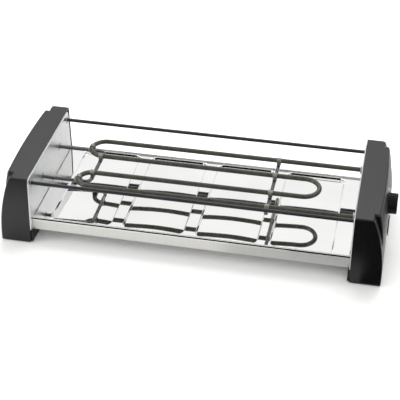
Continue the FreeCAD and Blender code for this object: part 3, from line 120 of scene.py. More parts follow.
def grow(x, y, z):
    """Extrudes what is selected by a step."""
    bpy.ops.mesh.extrude_region_move(TRANSFORM_OT_translate={"value": (x, y, z)})


def spin(angle, steps, centre):
    """Sweeps what is selected round an upright line through a centre."""
    bpy.ops.mesh.spin(steps=steps, angle=angle, center=centre, axis=AXES["Z"])


def bevel(width, segments=3):
    """Rounds the selected edges."""
    bpy.ops.mesh.bevel(offset=width, segments=segments, profile=0.5, affect="EDGES")


def outwards(piece):
    """Merges doubles and turns every face outwards."""
    bpy.ops.mesh.select_all(action="SELECT")
    bpy.ops.mesh.remove_doubles(threshold=TINY / 10)
    bpy.ops.mesh.normals_make_consistent(inside=False)
    bpy.ops.mesh.select_all(action="DESELECT")


def modify(piece, kind, **settings):
    """Adds a modifier and applies it."""
    only(piece)
    modifier = piece.modifiers.new(kind.lower(), kind)
    for name, value in settings.items():
        setattr(modifier, name, value)
    bpy.ops.object.modifier_apply(modifier=modifier.name)


def done(piece, material, nodes):
    """Leaves edit mode, smooths the piece, and sets its finish, its body and the nodes that it stands for."""
    if piece.mode == "EDIT":
        bpy.ops.object.mode_set(mode="OBJECT")
    only(piece)
    bpy.ops.object.shade_smooth_by_angle(angle=SMOOTH)
    modify(piece, "WEIGHTED_NORMAL", keep_sharp=True)
    piece.data.materials.clear()
    piece.data.materials.append(MATERIALS[material])
    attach(piece, "base")
    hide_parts(*nodes)


def copy_of(piece, name):
    """A copy with its own mesh."""
    twin = piece.copy()
    twin.data = piece.data.copy()
    twin.name = twin.data.name = name
    bpy.context.scene.collection.objects.link(twin)
    return twin


# Materials

def linear(code):
    """The linear colour of an sRGB hex value."""
    channels = [int(code[i:i + 2], 16) / 255 for i in (1, 3, 5)]
    return tuple(c / 12.92 if c <= 0.04045 else ((c + 0.055) / 1.055) ** 2.4 for c in channels) + (1.0,)


def add(owner, kind, inputs=None, **settings):
    """A node of a material or the world; inputs gives a socket its value or another node's output."""
    tree = owner.node_tree
    node = tree.nodes.new(kind)
    for name, value in settings.items():
        setattr(node, name, value)
    for name, value in (inputs or {}).items():
        if isinstance(value, bpy.types.NodeSocket):
            tree.links.new(value, node.inputs[name])
        else:
            node.inputs[name].default_value = value
    return node


def finish(name, **sockets):
    """A new material and its shader, with values on the shader's own sockets."""
    material = bpy.data.materials.new(name)
    material.use_nodes = True
    shader = material.node_tree.nodes["Principled BSDF"]
    for socket, value in sockets.items():
        shader.inputs[socket.replace("_", " ")].default_value = value
    return material, shader


def link(owner, output, shader, socket):
    """Leads a node's output into a shader's socket."""
    owner.node_tree.links.new(output, shader.inputs[socket])


def place_on(material, stretch=(1, 1, 1)):
    """Object coordinates, stretched along the axes."""
    where = add(material, "ShaderNodeTexCoord")
    return add(material, "ShaderNodeMapping", {"Vector": where.outputs["Object"], "Scale": stretch})


def noise(material, size_mm, stretch=(1, 1, 1), detail=3.0, roughness=0.5):
    """Noise whose patches are about that many millimetres across."""
    where = place_on(material, stretch)
    return add(material, "ShaderNodeTexNoise", {
        "Vector": where.outputs["Vector"], "Scale": 1 / (size_mm * MM), "Detail": detail,
        "Roughness": roughness})


def blend_colours(material, factor, low, high, dark, light):
    """Two colours over a stretch of a pattern's values."""
    ramp = add(material, "ShaderNodeValToRGB", {"Fac": factor})
    first, last = ramp.color_ramp.elements
    first.position, last.position = low, high
    first.color, last.color = linear(dark), linear(light)
    return ramp.outputs["Color"]


def spread(material, factor, low, high):
    """A pattern's middle values mapped to a range."""
    return add(material, "ShaderNodeMapRange", {
        "Value": factor, "From Min": 0.3, "From Max": 0.7, "To Min": low, "To Max": high}).outputs["Result"]


def bump(material, shader, height, depth_mm):
    """Relief of that depth in millimetres."""
    relief = add(material, "ShaderNodeBump", {"Height": height, "Distance": depth_mm * MM})
    link(material, relief.outputs["Normal"], shader, "Normal")


def moulded_plastic(name, dark, light, low, high, grain_mm, depth_mm, **sockets):
    """Black plastic from a spark-eroded mould: even satin with a fine grain in its gloss and slow changes in
    tone.
    """
    material, shader = finish(name, **sockets)
    slow = noise(material, 45, detail=2).outputs["Fac"]
    link(material, blend_colours(material, slow, 0.3, 0.7, dark, light), shader, "Base Color")
    grain = noise(material, grain_mm, detail=2).outputs["Fac"]
    link(material, spread(material, grain, low, high), shader, "Roughness")
    bump(material, shader, grain, depth_mm)
    return material


def bright_metal(name, dark, light, low, high, patch_mm, stretch, line_mm, depth_mm, wave_mm=0,
                 wave_depth_mm=0):
    """Bare or plated metal: fine lines in its roughness, slow changes in tone and a slightly uneven face."""
    material, shader = finish(name, Metallic=1.0)
    slow = noise(material, patch_mm, detail=2).outputs["Fac"]
    link(material, blend_colours(material, slow, 0.3, 0.7, dark, light), shader, "Base Color")
    lines = noise(material, line_mm, stretch, detail=4).outputs["Fac"]
    link(material, spread(material, lines, low, high), shader, "Roughness")
    if wave_mm:
        waves = noise(material, wave_mm, detail=1).outputs["Fac"]
        first = add(material, "ShaderNodeBump", {"Height": waves, "Distance": wave_depth_mm * MM})
        relief = add(material, "ShaderNodeBump", {
            "Height": lines, "Distance": depth_mm * MM, "Normal": first.outputs["Normal"]})
        link(material, relief.outputs["Normal"], shader, "Normal")
    else:
        bump(material, shader, lines, depth_mm)
    return material


def brushed_and_shaded_apron():
    """The tray's sheet where the bending tool has brushed it: fine upright strokes and a satin shine, on a
    base painted darker than the flat's as painted shade.
    """
    material, shader = finish("brushed_tray_apron_painted_shade", Metallic=1.0)
    strokes = noise(material, 1.4, (1, 1, 0.03), detail=4).outputs["Fac"]
    # Painted shade: these tones are darker than the flat sheet's, for the shadowed table that the aprons
    # mirror
    link(material, blend_colours(material, strokes, 0.3, 0.7, "#d2d1cd", "#d8d7d4"), shader, "Base Color")
    link(material, spread(material, strokes, 0.42, 0.48), shader, "Roughness")
    bump(material, shader, strokes, 0.002)
    return material


def oxidised_sheath():
    """Nickel alloy sheath after its first heating: dull olive-brown oxide, mottled, a little sheen left."""
    material, shader = finish("oxidised_sheath", Metallic=0.1, Specular_IOR_Level=0.65)
    patches = noise(material, 9, detail=5, roughness=0.6).outputs["Fac"]
    link(material, blend_colours(material, patches, 0.35, 0.68, "#2b2922", "#3f3d33"), shader, "Base Color")
    link(material, spread(material, patches, 0.27, 0.4), shader, "Roughness")
    bump(material, shader, noise(material, 0.8, detail=3).outputs["Fac"], 0.02)
    return material


def rubber():
    """Moulded black rubber: matt with a dusty bloom."""
    material, shader = finish("moulded_rubber", Roughness=0.8)
    dust = noise(material, 6, detail=4).outputs["Fac"]
    link(material, blend_colours(material, dust, 0.4, 0.8, "#151414", "#2a2827"), shader, "Base Color")
    bump(material, shader, noise(material, 0.6).outputs["Fac"], 0.03)
    return material


def unglazed_ceramic():
    """Pressed steatite: off-white, matt, slightly speckled."""
    material, shader = finish("unglazed_ceramic", Roughness=0.65)
    specks = noise(material, 1.5, detail=5).outputs["Fac"]
    link(material, blend_colours(material, specks, 0.3, 0.6, "#d8d2c4", "#e9e5da"), shader, "Base Color")
    bump(material, shader, specks, 0.03)
    return material


def milky_lens():
    """Milky white acrylic: glossy, with light scattered inside."""
    material, shader = finish("milky_acrylic", Roughness=0.18, Subsurface_Weight=0.25)
    cloud = noise(material, 3, detail=2).outputs["Fac"]
    link(material, blend_colours(material, cloud, 0.3, 0.7, "#efeeea", "#f8f8f6"), shader, "Base Color")
    return material


def lamp_glass():
    """Clear soda glass of a neon lamp, faintly orange."""
    material, shader = finish("neon_glass", Roughness=0.05, Transmission_Weight=0.9, IOR=1.52)
    tint = noise(material, 4, detail=1).outputs["Fac"]
    link(material, blend_colours(material, tint, 0.3, 0.7, "#f3cfae", "#f9e3cf"), shader, "Base Color")
    return material


def nylon():
    """Natural nylon of terminals and switches: creamy and slightly waxy."""
    material, shader = finish("natural_nylon", Roughness=0.45)
    cloud = noise(material, 5, detail=3).outputs["Fac"]
    link(material, blend_colours(material, cloud, 0.3, 0.7, "#d4d0c4", "#e0ddd2"), shader, "Base Color")
    bump(material, shader, noise(material, 0.8).outputs["Fac"], 0.015)
    return material


def silicone_sleeve():
    """Silicone-rubber insulation: pale, soft sheen, fine lengthwise flow."""
    material, shader = finish("silicone_sleeve", Roughness=0.55)
    flow = noise(material, 2, detail=3).outputs["Fac"]
    link(material, blend_colours(material, flow, 0.3, 0.7, "#d6d2c6", "#e2dfd5"), shader, "Base Color")
    bump(material, shader, flow, 0.02)
    return material


MATERIALS = {
    # Even satin black with a soft edge to its highlights; the real grain of 0.2 mm is drawn near 1 mm
    "housing_plastic": moulded_plastic("satin_moulded_plastic", "#0b0909", "#100d0d", 0.27, 0.34, 0.9, 0.012,
                                       Specular_IOR_Level=0.46),
    # Duller than the housings, so that the covers step back below them; grain drawn coarser, as above
    "cover_plastic": moulded_plastic("matt_moulded_plastic", "#161415", "#1c1a1b", 0.55, 0.66, 0.9, 0.02),
    "foot_rubber": rubber(),
    # Cold-rolled and lightly polished: blurred reflections, faint upright lines, a slightly wavy face
    "plate_steel": bright_metal("polished_stainless_steel", "#d4d5d7", "#dededd", 0.27, 0.35, 60,
                                (1, 1, 0.06), 0.9, 0.003, 70, 0.05),
    # Bright-rolled sheet: a near mirror that bends what it shows a little
    "tray_sheet": bright_metal("mirror_bright_sheet", "#eeeeed", "#f6f6f5", 0.02, 0.04, 80,
                               (0.05, 1, 1), 1.0, 0.001, 45, 0.05),
    "tray_apron": brushed_and_shaded_apron(),
    "element_sheath": oxidised_sheath(),
    # Nickel on drawn rod, its base painted near-black as a painted dark reflection of its surroundings, with
    # a thin sharp streak of light
    "wire_chrome": bright_metal("nickel_plating_painted_dark", "#414244", "#4d4e50", 0.06, 0.12, 40,
                                (0.05, 1, 1), 0.6, 0.002),
    # The same wire before plating: its base painted dark grey, a painted dark reflection like the rods', and
    # softer, with die lines along it
    "wire_steel": bright_metal("drawn_steel_wire_painted_dark", "#606162", "#6c6d6e", 0.1, 0.18, 30,
                               (1, 0.05, 1), 0.6, 0.003),
    # Uncoated strip: dull grey-brown, with rolling marks
    "clip_steel": bright_metal("plain_pressed_steel", "#8b8983", "#a09e98", 0.4, 0.5, 8,
                               (1, 0.3, 1), 0.7, 0.01),
    # Bluish zinc: a soft, slightly cloudy shine
    "fastener_steel": bright_metal("zinc_plated_steel", "#a9abad", "#bfc0c0", 0.25, 0.38, 6,
                                   (1, 1, 1), 0.8, 0.01),
    # Deep matt black that hardly takes a highlight; grain drawn coarser than the real 0.1 mm
    "knob_plastic": moulded_plastic("matt_black_knob_plastic", "#0a0909", "#100f0f", 0.44, 0.52, 0.8, 0.02,
                                    Specular_IOR_Level=0.22),
    # Smoother and glossier than the housing round it
    "inlet_plastic": moulded_plastic("glossy_black_nylon", "#0f0e0e", "#161515", 0.3, 0.4, 0.8, 0.01),
    "ceramic": unglazed_ceramic(),
    "lens_plastic": milky_lens(),
    "lamp_glass": lamp_glass(),
    "wiring_plastic": nylon(),
    # Warm yellow with rolling lines
    "earth_brass": bright_metal("rolled_brass", "#b8975a", "#c9a96a", 0.22, 0.34, 6, (1, 0.1, 1), 0.7, 0.005),
    "lead_insulation": silicone_sleeve(),
}


def dress_construction_pieces():
    """Gives every construction node the finish of its slot."""
    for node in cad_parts.values():
        for slot in node.material_slots:
            slot.material = MATERIALS[slot.material.name]


# Reflector tray

BAYS, PITCH = 4, 99 * MM
BAY_WIDTH, BAY_REACH, BAY_CORNER = 83 * MM, 89 * MM, 9.5 * MM
BAY_DROP, BAY_WALL, BAY_CROWN, BAY_MARGIN = 3.6 * MM, 1.2 * MM, 0.8 * MM, 1.2 * MM
TRAY_SHEET, TRAY_FOLD = 0.6 * MM, 1.7 * MM
BAY_CENTRES = [MIDDLE + PITCH * (i - (BAYS - 1) / 2) for i in range(BAYS)]
TRAY_TOP = TRAY[1].z - 0.4 * MM
BAY_FLOOR = TRAY_TOP - BAY_DROP
# The rolled edge, outwards and upwards from the flat in millimetres; the rear one is drawn taller
BEAD = [(0, 0), (0, 0.75), (0.1, 1.05), (0.35, 1.25), (0.75, 1.3), (1.2, 1.2), (1.65, 0.95), (2.0, 0.55),
        (2.2, 0.1), (2.75, -1.5), (2.85, -2.2)]
REAR_RISE = 1.9


def tray_blank():
    """The flat sheet, filled around and inside the outlines of its bays."""
    # The sheet ends a little short of the plates, which leaves a dark seam beside it
    seam = 0.9 * MM
    low, high = (Vector((MIDDLE + side * (PLATE_FACE - seam), corner.y, corner.z))
                 for side, corner in zip((-1, 1), TRAY))
    piece = start("reflector_tray_sheet", bpy.ops.mesh.primitive_plane_add,
                  (high.x - low.x, high.y - low.y, 1), size=1,
                  location=((low.x + high.x) / 2, 0, TRAY_TOP))
    bpy.ops.mesh.select_all(action="SELECT")
    bpy.ops.mesh.delete(type="ONLY_FACE")
    for centre in BAY_CENTRES:
        bpy.ops.mesh.select_all(action="DESELECT")
        bpy.ops.mesh.primitive_plane_add(size=1, location=(centre, 0, TRAY_TOP))
        bpy.ops.transform.resize(value=(BAY_WIDTH + 2 * BAY_MARGIN, 2 * (BAY_REACH + BAY_MARGIN), 1))
        bpy.ops.mesh.bevel(offset=BAY_CORNER + BAY_MARGIN, segments=8, affect="VERTICES")
    bpy.ops.mesh.select_all(action="SELECT")
    bpy.ops.mesh.fill()
    outwards(piece)
    return piece


def press_bays(piece):
    """Presses the bays down from the sheet, with sloping walls."""
    many_sided = 12
    for centre in BAY_CENTRES:
        choose(piece, "faces",
               lambda face: len(face.verts) > many_sided and abs(middle_of(face).x - centre) < MM)
        bpy.ops.mesh.inset(thickness=BAY_MARGIN)
        bpy.ops.mesh.inset(thickness=BAY_WALL, depth=-BAY_DROP)


def crown_floors(piece):
    """Divides each bay's floor along and across, and lifts its middle as a pressed floor springs up."""
    half_width, half_length = BAY_WIDTH / 2 - BAY_WALL, BAY_REACH - BAY_WALL
    # Where the floor is divided, in shares of its half width and half length
    across, along = (-0.8, -0.54, -0.27, 0, 0.27, 0.54, 0.8), (-0.91, -0.6, -0.3, 0, 0.3, 0.6, 0.91)
    cuts = ((across, half_width, "X", BAY_CENTRES), (along, half_length, "Y", [0]))
    for shares, reach, axis, centres in cuts:
        for centre in centres:
            for share in shares:
                choose(piece, "faces", lambda face: flat_at(face, BAY_FLOOR))
                bpy.ops.mesh.bisect(plane_co=AXES[axis] * (centre + share * reach), plane_no=AXES[axis])
    for x_share in across[3:]:
        for y_share in along[3:]:
            choose(piece, "verts", lambda v: abs(v.co.z - BAY_FLOOR) < TINY
                   and abs(abs(v.co.y) - y_share * half_length) < TINY
                   and any(abs(abs(v.co.x - c) - x_share * half_width) < TINY for c in BAY_CENTRES))
            slide(z=BAY_CROWN * (1 - x_share ** 2) * (1 - y_share ** 2))


def round_rims(piece):
    """Rounds the bays' walls into the floor and into the sheet."""
    def rim(edge, height):
        return flat_at(edge, height) and len(edge.link_faces) == 2 and \
            abs(edge.link_faces[0].normal.dot(edge.link_faces[1].normal)) < 0.8

    for height, radius in ((BAY_FLOOR, 0.4 * MM), (TRAY_TOP, 0.8 * MM)):
        choose(piece, "edges", lambda edge: rim(edge, height))
        bevel(radius, 5)


def fold_edges(piece):
    """Rolls the front and rear edges into a bead and folds all four down to the aprons' foot."""
    low, high = TRAY
    for side, rise in ((-1, 1), (1, REAR_RISE)):
        choose(piece, "edges",
               lambda edge: edge.is_boundary and abs(middle_of(edge).y - side * high.y) < TINY)
        slide(y=-side * BEAD[-1][0] * MM)
        for before, after in zip(BEAD, BEAD[1:]):
            grow(0, side * (after[0] - before[0]) * MM, (after[1] - before[1]) * MM * rise)
    choose(piece, "edges", lambda edge: edge.is_boundary)
    grow(0, 0, low.z - TRAY_TOP)
    # The beads end lower than the sheet, so all that comes near the foot is brought level with it
    choose(piece, "verts", lambda v: v.co.z < low.z + 3 * MM)
    bpy.ops.transform.resize(value=(1, 1, 0), center_override=(0, 0, low.z))
    choose(piece, "edges", lambda edge: len(edge.link_faces) == 2 and abs(middle_of(edge).z - TRAY_TOP) < TINY
           and any(abs(face.normal.x) > 0.9 for face in edge.link_faces)
           and any(abs(face.normal.z) > 0.9 for face in edge.link_faces))
    bevel(TRAY_FOLD, 5)


def hold_corners(piece):
    """Brings back any inner corner point that the even thickness has thrown far from its outer one."""
    points = piece.data.vertices
    half, furthest = len(points) // 2, 10 * TRAY_SHEET
    for outer, inner in zip(points[:half], points[half:]):
        if (inner.co - outer.co).length > furthest:
            inwards = (Vector((MIDDLE, 0, outer.co.z)) - outer.co).normalized()
            inner.co = outer.co + inwards * TRAY_SHEET


def reflector_tray():
    """Thin mirror sheet with four pressed bays, beads along its long edges and aprons all round."""
    piece = tray_blank()
    press_bays(piece)
    crown_floors(piece)
    round_rims(piece)
    fold_edges(piece)
    outwards(piece)
    bpy.ops.object.mode_set(mode="OBJECT")
    modify(piece, "SOLIDIFY", thickness=TRAY_SHEET, offset=-1, use_even_offset=True)
    hold_corners(piece)
    bpy.ops.object.mode_set(mode="EDIT")
    choose(piece, "edges", lambda edge: len({flat_at(face, TRAY_TOP) for face in edge.link_faces}) == 2)
    bpy.ops.mesh.mark_sharp()
    done(piece, "tray_sheet", ["reflector_tray"])
    piece.data.materials.append(MATERIALS["tray_apron"])
    bpy.ops.object.mode_set(mode="EDIT")
    # The aprons' flats, without the small faces of the folds
    smallest = 20 * MM * MM
    choose(piece, "faces", lambda face: abs(face.normal.z) < 0.1 and face.calc_area() > smallest)
    piece.active_material_index = 1
    bpy.ops.object.material_slot_assign()
    bpy.ops.object.mode_set(mode="OBJECT")


# Side plates

def side_plate(name, node, side):
    """A drawn steel plate with rounded corners, its edges folded back into the housing."""
    low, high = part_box(node)
    shown_face = MIDDLE + side * PLATE_FACE
    flange, fold, corner, sheet = 9 * MM, 1.2 * MM, 4 * MM, 0.8 * MM
    front, rear, rear_top, front_lean = low.y, high.y - 7 * MM, high.y - 11 * MM, 4.6 * MM
    piece = start(name, bpy.ops.mesh.primitive_plane_add, (high.z - low.z, rear - front, 1), size=1,
                  location=(shown_face, (front + rear) / 2, (low.z + high.z) / 2), rotation=turned("X"))
    choose(piece, "verts", lambda v: v.co.z > high.z - MM and v.co.y > 0)
    slide(y=rear_top - rear)
    choose(piece, "verts", lambda v: v.co.z > high.z - MM and v.co.y < 0)
    slide(y=front_lean)
    bpy.ops.mesh.select_all(action="SELECT")
    bpy.ops.mesh.bevel(offset=corner, segments=5, affect="VERTICES")
    choose(piece, "edges", lambda edge: edge.is_boundary)
    grow(side * flange, 0, 0)
    choose(piece, "edges",
           lambda edge: len(edge.link_faces) == 2 and abs(middle_of(edge).x - shown_face) < TINY)
    bevel(fold, 4)
    outwards(piece)
    # The shown face looks to the middle, so that the sheet's thickness goes into the housing
    if choose(piece, "faces", lambda face: abs(face.normal.x) > 0.9 and face.normal.x * side > 0):
        bpy.ops.mesh.select_all(action="SELECT")
        bpy.ops.mesh.flip_normals()
    bpy.ops.object.mode_set(mode="OBJECT")
    modify(piece, "SOLIDIFY", thickness=sheet, offset=-1, use_even_offset=True)
    done(piece, "plate_steel", [node])


# Heating element

def run_depth(clip_node):
    """Where along Y the run lies that a clip holds."""
    low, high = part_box(clip_node)
    return (low.y + high.y) / 2


def heating_element():
    """The sheathed tube in a W: in from the right, round three bends and out to the right again."""
    low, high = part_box("heating_element")
    radius, height = (high.z - low.z) / 2, (high.z + low.z) / 2
    outer = high.y - radius
    rear, front = (run_depth(f"{end}_inner_brace_clip") for end in ("rear", "front"))
    # Where the left and the right bends have their centres
    left, right = MIDDLE - 145.5 * MM, MIDDLE + 140 * MM
    piece = start("heating_element_tube", bpy.ops.mesh.primitive_circle_add, vertices=24, radius=radius,
                  location=(high.x, outer, height), rotation=turned("X"), fill_type="NGON")
    bpy.ops.mesh.select_all(action="SELECT")
    parts, steps = 8, 20
    bends = ((left, (outer + rear) / 2, -math.pi), (right, (rear + front) / 2, math.pi),
             (left, (front - outer) / 2, -math.pi))
    reached = high.x
    for x, y, angle in bends:
        for _ in range(parts):
            grow((x - reached) / parts, 0, 0)
        spin(angle, steps, (x, y, height))
        reached = x
    for _ in range(parts):
        grow((high.x - reached) / parts, 0, 0)
    outwards(piece)
    done(piece, "element_sheath", ["heating_element"])


# Wires and rods

def rod(name, node):
    """A drawn and plated rod with rounded ends."""
    low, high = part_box(node)
    radius, ring, round_end = (high.z - low.z) / 2, 0.2 * MM, 0.6 * MM
    piece = start(name, bpy.ops.mesh.primitive_cylinder_add, vertices=40, radius=radius, depth=high.x - low.x,
                  location=(low + high) / 2, rotation=turned("X"))
    choose(piece, "faces", lambda face: abs(face.normal.x) > 0.9)
    bpy.ops.mesh.inset(thickness=ring)
    choose(piece, "edges", lambda edge: len({round(abs(face.normal.x)) for face in edge.link_faces}) == 2)
    bevel(round_end, 4)
    outwards(piece)
    done(piece, "wire_chrome", [node])


def brace_wire():
    """The straight wire under the four runs, its ends cropped and rounded."""
    low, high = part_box("right_brace_wire")
    radius, round_end = (high.z - low.z) / 2, 0.8 * MM
    piece = start("brace_wire", bpy.ops.mesh.primitive_cylinder_add, vertices=32, radius=radius,
                  depth=high.y - low.y, location=(low + high) / 2, rotation=turned("Y"))
    choose(piece, "edges", lambda edge: len({round(abs(face.normal.y)) for face in edge.link_faces}) == 2)
    bevel(round_end, 4)
    outwards(piece)
    done(piece, "wire_steel", ["right_brace_wire"])


def wire_bracket():
    """The U of wire that comes out of the left plate."""
    low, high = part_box("left_wire_bracket")
    radius, height = (high.z - low.z) / 2, (high.z + low.z) / 2
    leg, bend = high.y - radius, 8 * MM
    cross = high.x - radius
    piece = start("wire_bracket", bpy.ops.mesh.primitive_circle_add, vertices=32, radius=radius,
                  location=(low.x, -leg, height), rotation=turned("X"), fill_type="NGON")
    bpy.ops.mesh.select_all(action="SELECT")
    grow(cross - bend - low.x, 0, 0)
    spin(-math.pi / 2, 10, (cross - bend, -leg + bend, height))
    grow(0, 2 * (leg - bend), 0)
    spin(-math.pi / 2, 10, (cross - bend, leg - bend, height))
    grow(low.x - cross + bend, 0, 0)
    outwards(piece)
    done(piece, "wire_steel", ["left_wire_bracket"])


# Clips

def clip(name, node, tube_height):
    """A sheet strap over the tube, along X, whose legs end in a sleeve round the wire, along Y."""
    low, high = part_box(node)
    x, y = (low.x + high.x) / 2, (low.y + high.y) / 2
    sheet, width, tube_fit, wrap, edge_round = 0.8 * MM, 6.2 * MM, 0.35 * MM, 0.3 * MM, 0.15 * MM
    strap = (high.z - tube_height) - sheet / 2 - tube_fit / 4
    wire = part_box("right_brace_wire")
    wire_height, wire_radius = (wire[0].z + wire[1].z) / 2, (wire[1].z - wire[0].z) / 2
    sleeve = wire_radius + wrap / 2
    leg = wire_height - tube_height
    piece = start(name, bpy.ops.mesh.primitive_circle_add, vertices=32, radius=strap,
                  location=(x - width / 2, y, tube_height), rotation=turned("X"), fill_type="NOTHING")
    choose(piece, "verts", lambda v: v.co.z < tube_height - TINY)
    bpy.ops.mesh.delete(type="VERT")
    choose(piece, "verts", lambda v: v.co.z < tube_height + TINY)
    # The legs keep their width for a third of the way, then narrow to half of it at the wire
    grow(0, 0, 0.3 * leg)
    grow(0, 0, 0.7 * leg)
    bpy.ops.mesh.select_all(action="SELECT")
    grow(width, 0, 0)
    choose(piece, "verts", lambda v: v.co.z < wire_height + TINY)
    bpy.ops.transform.resize(value=(0.5, 1, 1), center_override=(x, y, wire_height))
    outwards(piece)
    bpy.ops.object.mode_set(mode="OBJECT")
    modify(piece, "SOLIDIFY", thickness=sheet, offset=0)
    ring = start(name + "_sleeve", bpy.ops.mesh.primitive_circle_add, vertices=28, radius=sleeve,
                 location=(x, low.y, wire_height), rotation=turned("Y"), fill_type="NOTHING")
    # The sleeve's ends don't quite meet under the wire
    choose(ring, "verts", lambda v: v.co.z < wire_height - sleeve * 0.98)
    bpy.ops.mesh.delete(type="VERT")
    bpy.ops.mesh.select_all(action="SELECT")
    grow(0, high.y - low.y, 0)
    outwards(ring)
    bpy.ops.object.mode_set(mode="OBJECT")
    modify(ring, "SOLIDIFY", thickness=wrap, offset=0)
    only(piece)
    ring.select_set(True)
    bpy.ops.object.join()
    modify(piece, "BEVEL", width=edge_round, segments=2, limit_method="ANGLE")
    return piece


def clips():
    """One clip modelled once, with a copy at each crossing of tube and wire."""
    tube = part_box("heating_element")
    tube_height = (tube[0].z + tube[1].z) / 2
    first_node = "rear_outer_brace_clip"
    low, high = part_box(first_node)
    first = (low + high) / 2
    pieces = {first_node: clip("brace_clip_rear_outer", first_node, tube_height)}
    # The clips at the left bends hold the tube where it runs across, so they are turned
    turned_round = {"rear_inner_brace_clip": False, "front_inner_brace_clip": False,
                    "front_outer_brace_clip": False, "rear_cross_clip": False, "front_cross_clip": False,
                    "rear_bend_clip": True, "front_bend_clip": True}
    for node, across in turned_round.items():
        low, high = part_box(node)
        middle = (low + high) / 2
        piece = copy_of(pieces[first_node], node + "_strap")
        only(piece)
        if across:
            bpy.ops.transform.rotate(value=math.pi / 2, orient_axis="Z", center_override=first)
        bpy.ops.transform.translate(value=(middle.x - first.x, middle.y - first.y, 0))
        bpy.ops.object.transform_apply(location=True, rotation=True, scale=True)
        pieces[node] = piece
    for node, piece in pieces.items():
        done(piece, "clip_steel", [node])


dress_construction_pieces()
side_plate("left_plate_sheet", "left_side_plate", -1)
side_plate("right_plate_sheet", "right_side_plate", 1)
reflector_tray()
heating_element()
rod("front_rod_bar", "front_rod")
rod("rear_rod_bar", "rear_rod")
brace_wire()
wire_bracket()
clips()


# Studio

def seen(owner, path):
    """Whether a ray is the camera's own, straight or through glass."""
    return add(owner, "ShaderNodeMath", {0: path.outputs["Is Camera Ray"],
                                         1: path.outputs["Is Transmission Ray"]}, operation="MAXIMUM")


def table():
    """A white table top that keeps the grill's shadow; its faint glow only lifts it to the white behind."""
    bpy.ops.object.select_all(action="DESELECT")
    bpy.ops.mesh.primitive_plane_add(size=12, location=(0, 0, -0.3 * MM))
    floor = bpy.context.object
    floor.name = "table"
    seen_glow, mirrored_glow = 0.03, 0.02
    material, shader = finish("white_table", Roughness=0.9, Specular_IOR_Level=0.0,
                              Base_Color=linear("#f8f8f7"), Emission_Color=(1, 1, 1, 1))
    path = add(material, "ShaderNodeLightPath")
    direct = add(material, "ShaderNodeMath", {0: seen(material, path).outputs[0], 1: seen_glow},
                 operation="MULTIPLY")
    mirrored = add(material, "ShaderNodeMath", {0: path.outputs["Is Glossy Ray"], 1: mirrored_glow},
                   operation="MULTIPLY")
    glow = add(material, "ShaderNodeMath", {0: direct.outputs[0], 1: mirrored.outputs[0]}, operation="ADD")
    link(material, glow.outputs[0], shader, "Emission Strength")
    floor.data.materials.append(material)


def white_room():
    """White all round, a shade dimmer as light than it is to the eye, in metal and through glass."""
    world = bpy.data.worlds.new("white_room")
    bpy.context.scene.world = world
    world.use_nodes = True
    path = add(world, "ShaderNodeLightPath")
    shown = add(world, "ShaderNodeMath", {0: seen(world, path).outputs[0], 1: path.outputs["Is Glossy Ray"]},
                operation="MAXIMUM")
    strength = add(world, "ShaderNodeMapRange", {"Value": shown.outputs[0], "To Min": 0.95, "To Max": 1.0})
    background = world.node_tree.nodes["Background"]
    background.inputs["Color"].default_value = (1, 1, 1, 1)
    link(world, strength.outputs["Result"], background, "Strength")


def softbox(name, place, aim, size, power):
    """A square soft light that faces a point."""
    data = bpy.data.lights.new(name, "AREA")
    data.shape, data.size, data.energy = "SQUARE", size, power
    light = bpy.data.objects.new(name, data)
    bpy.context.scene.collection.objects.link(light)
    light.location = place
    light.rotation_euler = (Vector(aim) - Vector(place)).to_track_quat("-Z", "Y").to_euler()
    return light


def card(name, place, width, height, colour, tilt=0, turn=0, glow=0.0):
    """A board that only reflections see, for the dark, grey and bright places that the metal mirrors."""
    bpy.ops.mesh.primitive_plane_add(size=1, location=place,
                                     rotation=(math.radians(tilt), 0, math.radians(turn)))
    board = bpy.context.object
    board.name = name
    board.scale = (width, height, 1)
    board.visible_camera = board.visible_diffuse = board.visible_shadow = False
    felt, _ = finish(name + "_felt", Roughness=1.0, Specular_IOR_Level=0.0, Base_Color=linear(colour),
                     Emission_Color=(1, 1, 1, 1), Emission_Strength=glow)
    board.data.materials.append(felt)


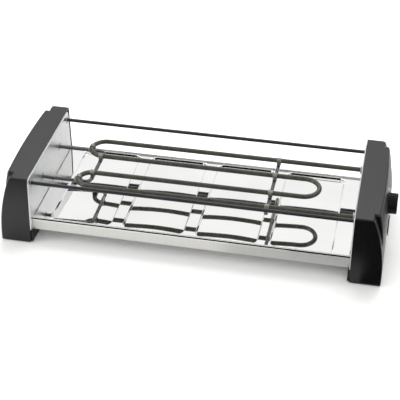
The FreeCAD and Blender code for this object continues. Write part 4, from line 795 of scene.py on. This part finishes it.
def studio():
    """A white table in a white room, two soft lights, and cards that only the metal and gloss mirror."""
    table()
    white_room()
    softbox("rear_softbox", (0, 1.3, 1.6), (0, 0, 0), 1.6, 34).visible_glossy = False
    softbox("left_softbox", (-1.3, -0.6, 0.7), (-0.2, 0, 0.05), 0.5, 5)

    black, charcoal = "#101010", "#242424"
    card("standing_dark_card", (0.15, -0.75, 0.1), 1.5, 0.2, black, tilt=90)
    card("leaning_dark_card", (-0.12, -0.57, 0.76), 0.8, 0.38, black, tilt=47)
    card("lying_dark_card", (0, -0.5, 0.001), 1.3, 0.48, black)
    # Painted shade: the low cards in front of the right half are seen only in the metal, where they darken
    # the mirrored table towards the right end as a deeper shadow would
    card("end_dark_card", (0.475, -0.183, 0.0012), 0.5, 0.155, charcoal)
    card("middle_grey_card", (0.125, -0.183, 0.0011), 0.17, 0.155, "#d4d4d4")
    card("corner_dark_card", (0.175, -0.21, 0.0014), 0.11, 0.1, charcoal)
    card("right_grey_card", (0.43, 0.06, 0.001), 0.3, 0.36, "#7a7a7a")
    card("rear_grey_card", (0, 0.32, 0.001), 1.2, 0.38, "#cfcfce")
    card("bright_card", (-0.1, 1.6, 1.7), 2.6, 0.4, "#ffffff", tilt=90, glow=3.0)
    for side, x in (("left", -1.6), ("right", 1.6)):
        card(side + "_dark_card", (x, 1.85, 1.3), 1.0, 2.2, black, tilt=90, turn=90)


def camera():
    """A long lens from the front, a little from the right, looking down on the grill."""
    eye, aim, roll = at(255.53, -1307.43, 952.22), at(-2.1, 0, 31.16), math.radians(0.33)
    forward = (aim - eye).normalized()
    level = forward.cross(AXES["Z"]).normalized()
    upright = level.cross(forward)
    right = level * math.cos(roll) + upright * math.sin(roll)
    up = upright * math.cos(roll) - level * math.sin(roll)
    data = bpy.data.cameras.new("camera")
    data.lens, data.sensor_width, data.clip_end = 105.3, 36, 50
    view = bpy.data.objects.new("camera", data)
    bpy.context.scene.collection.objects.link(view)
    turn = Matrix((right, up, -forward)).transposed()
    view.matrix_world = Matrix.Translation(eye) @ turn.to_4x4()
    bpy.context.scene.camera = view


studio()
camera()
bpy.context.scene.view_settings.view_transform = "Standard"
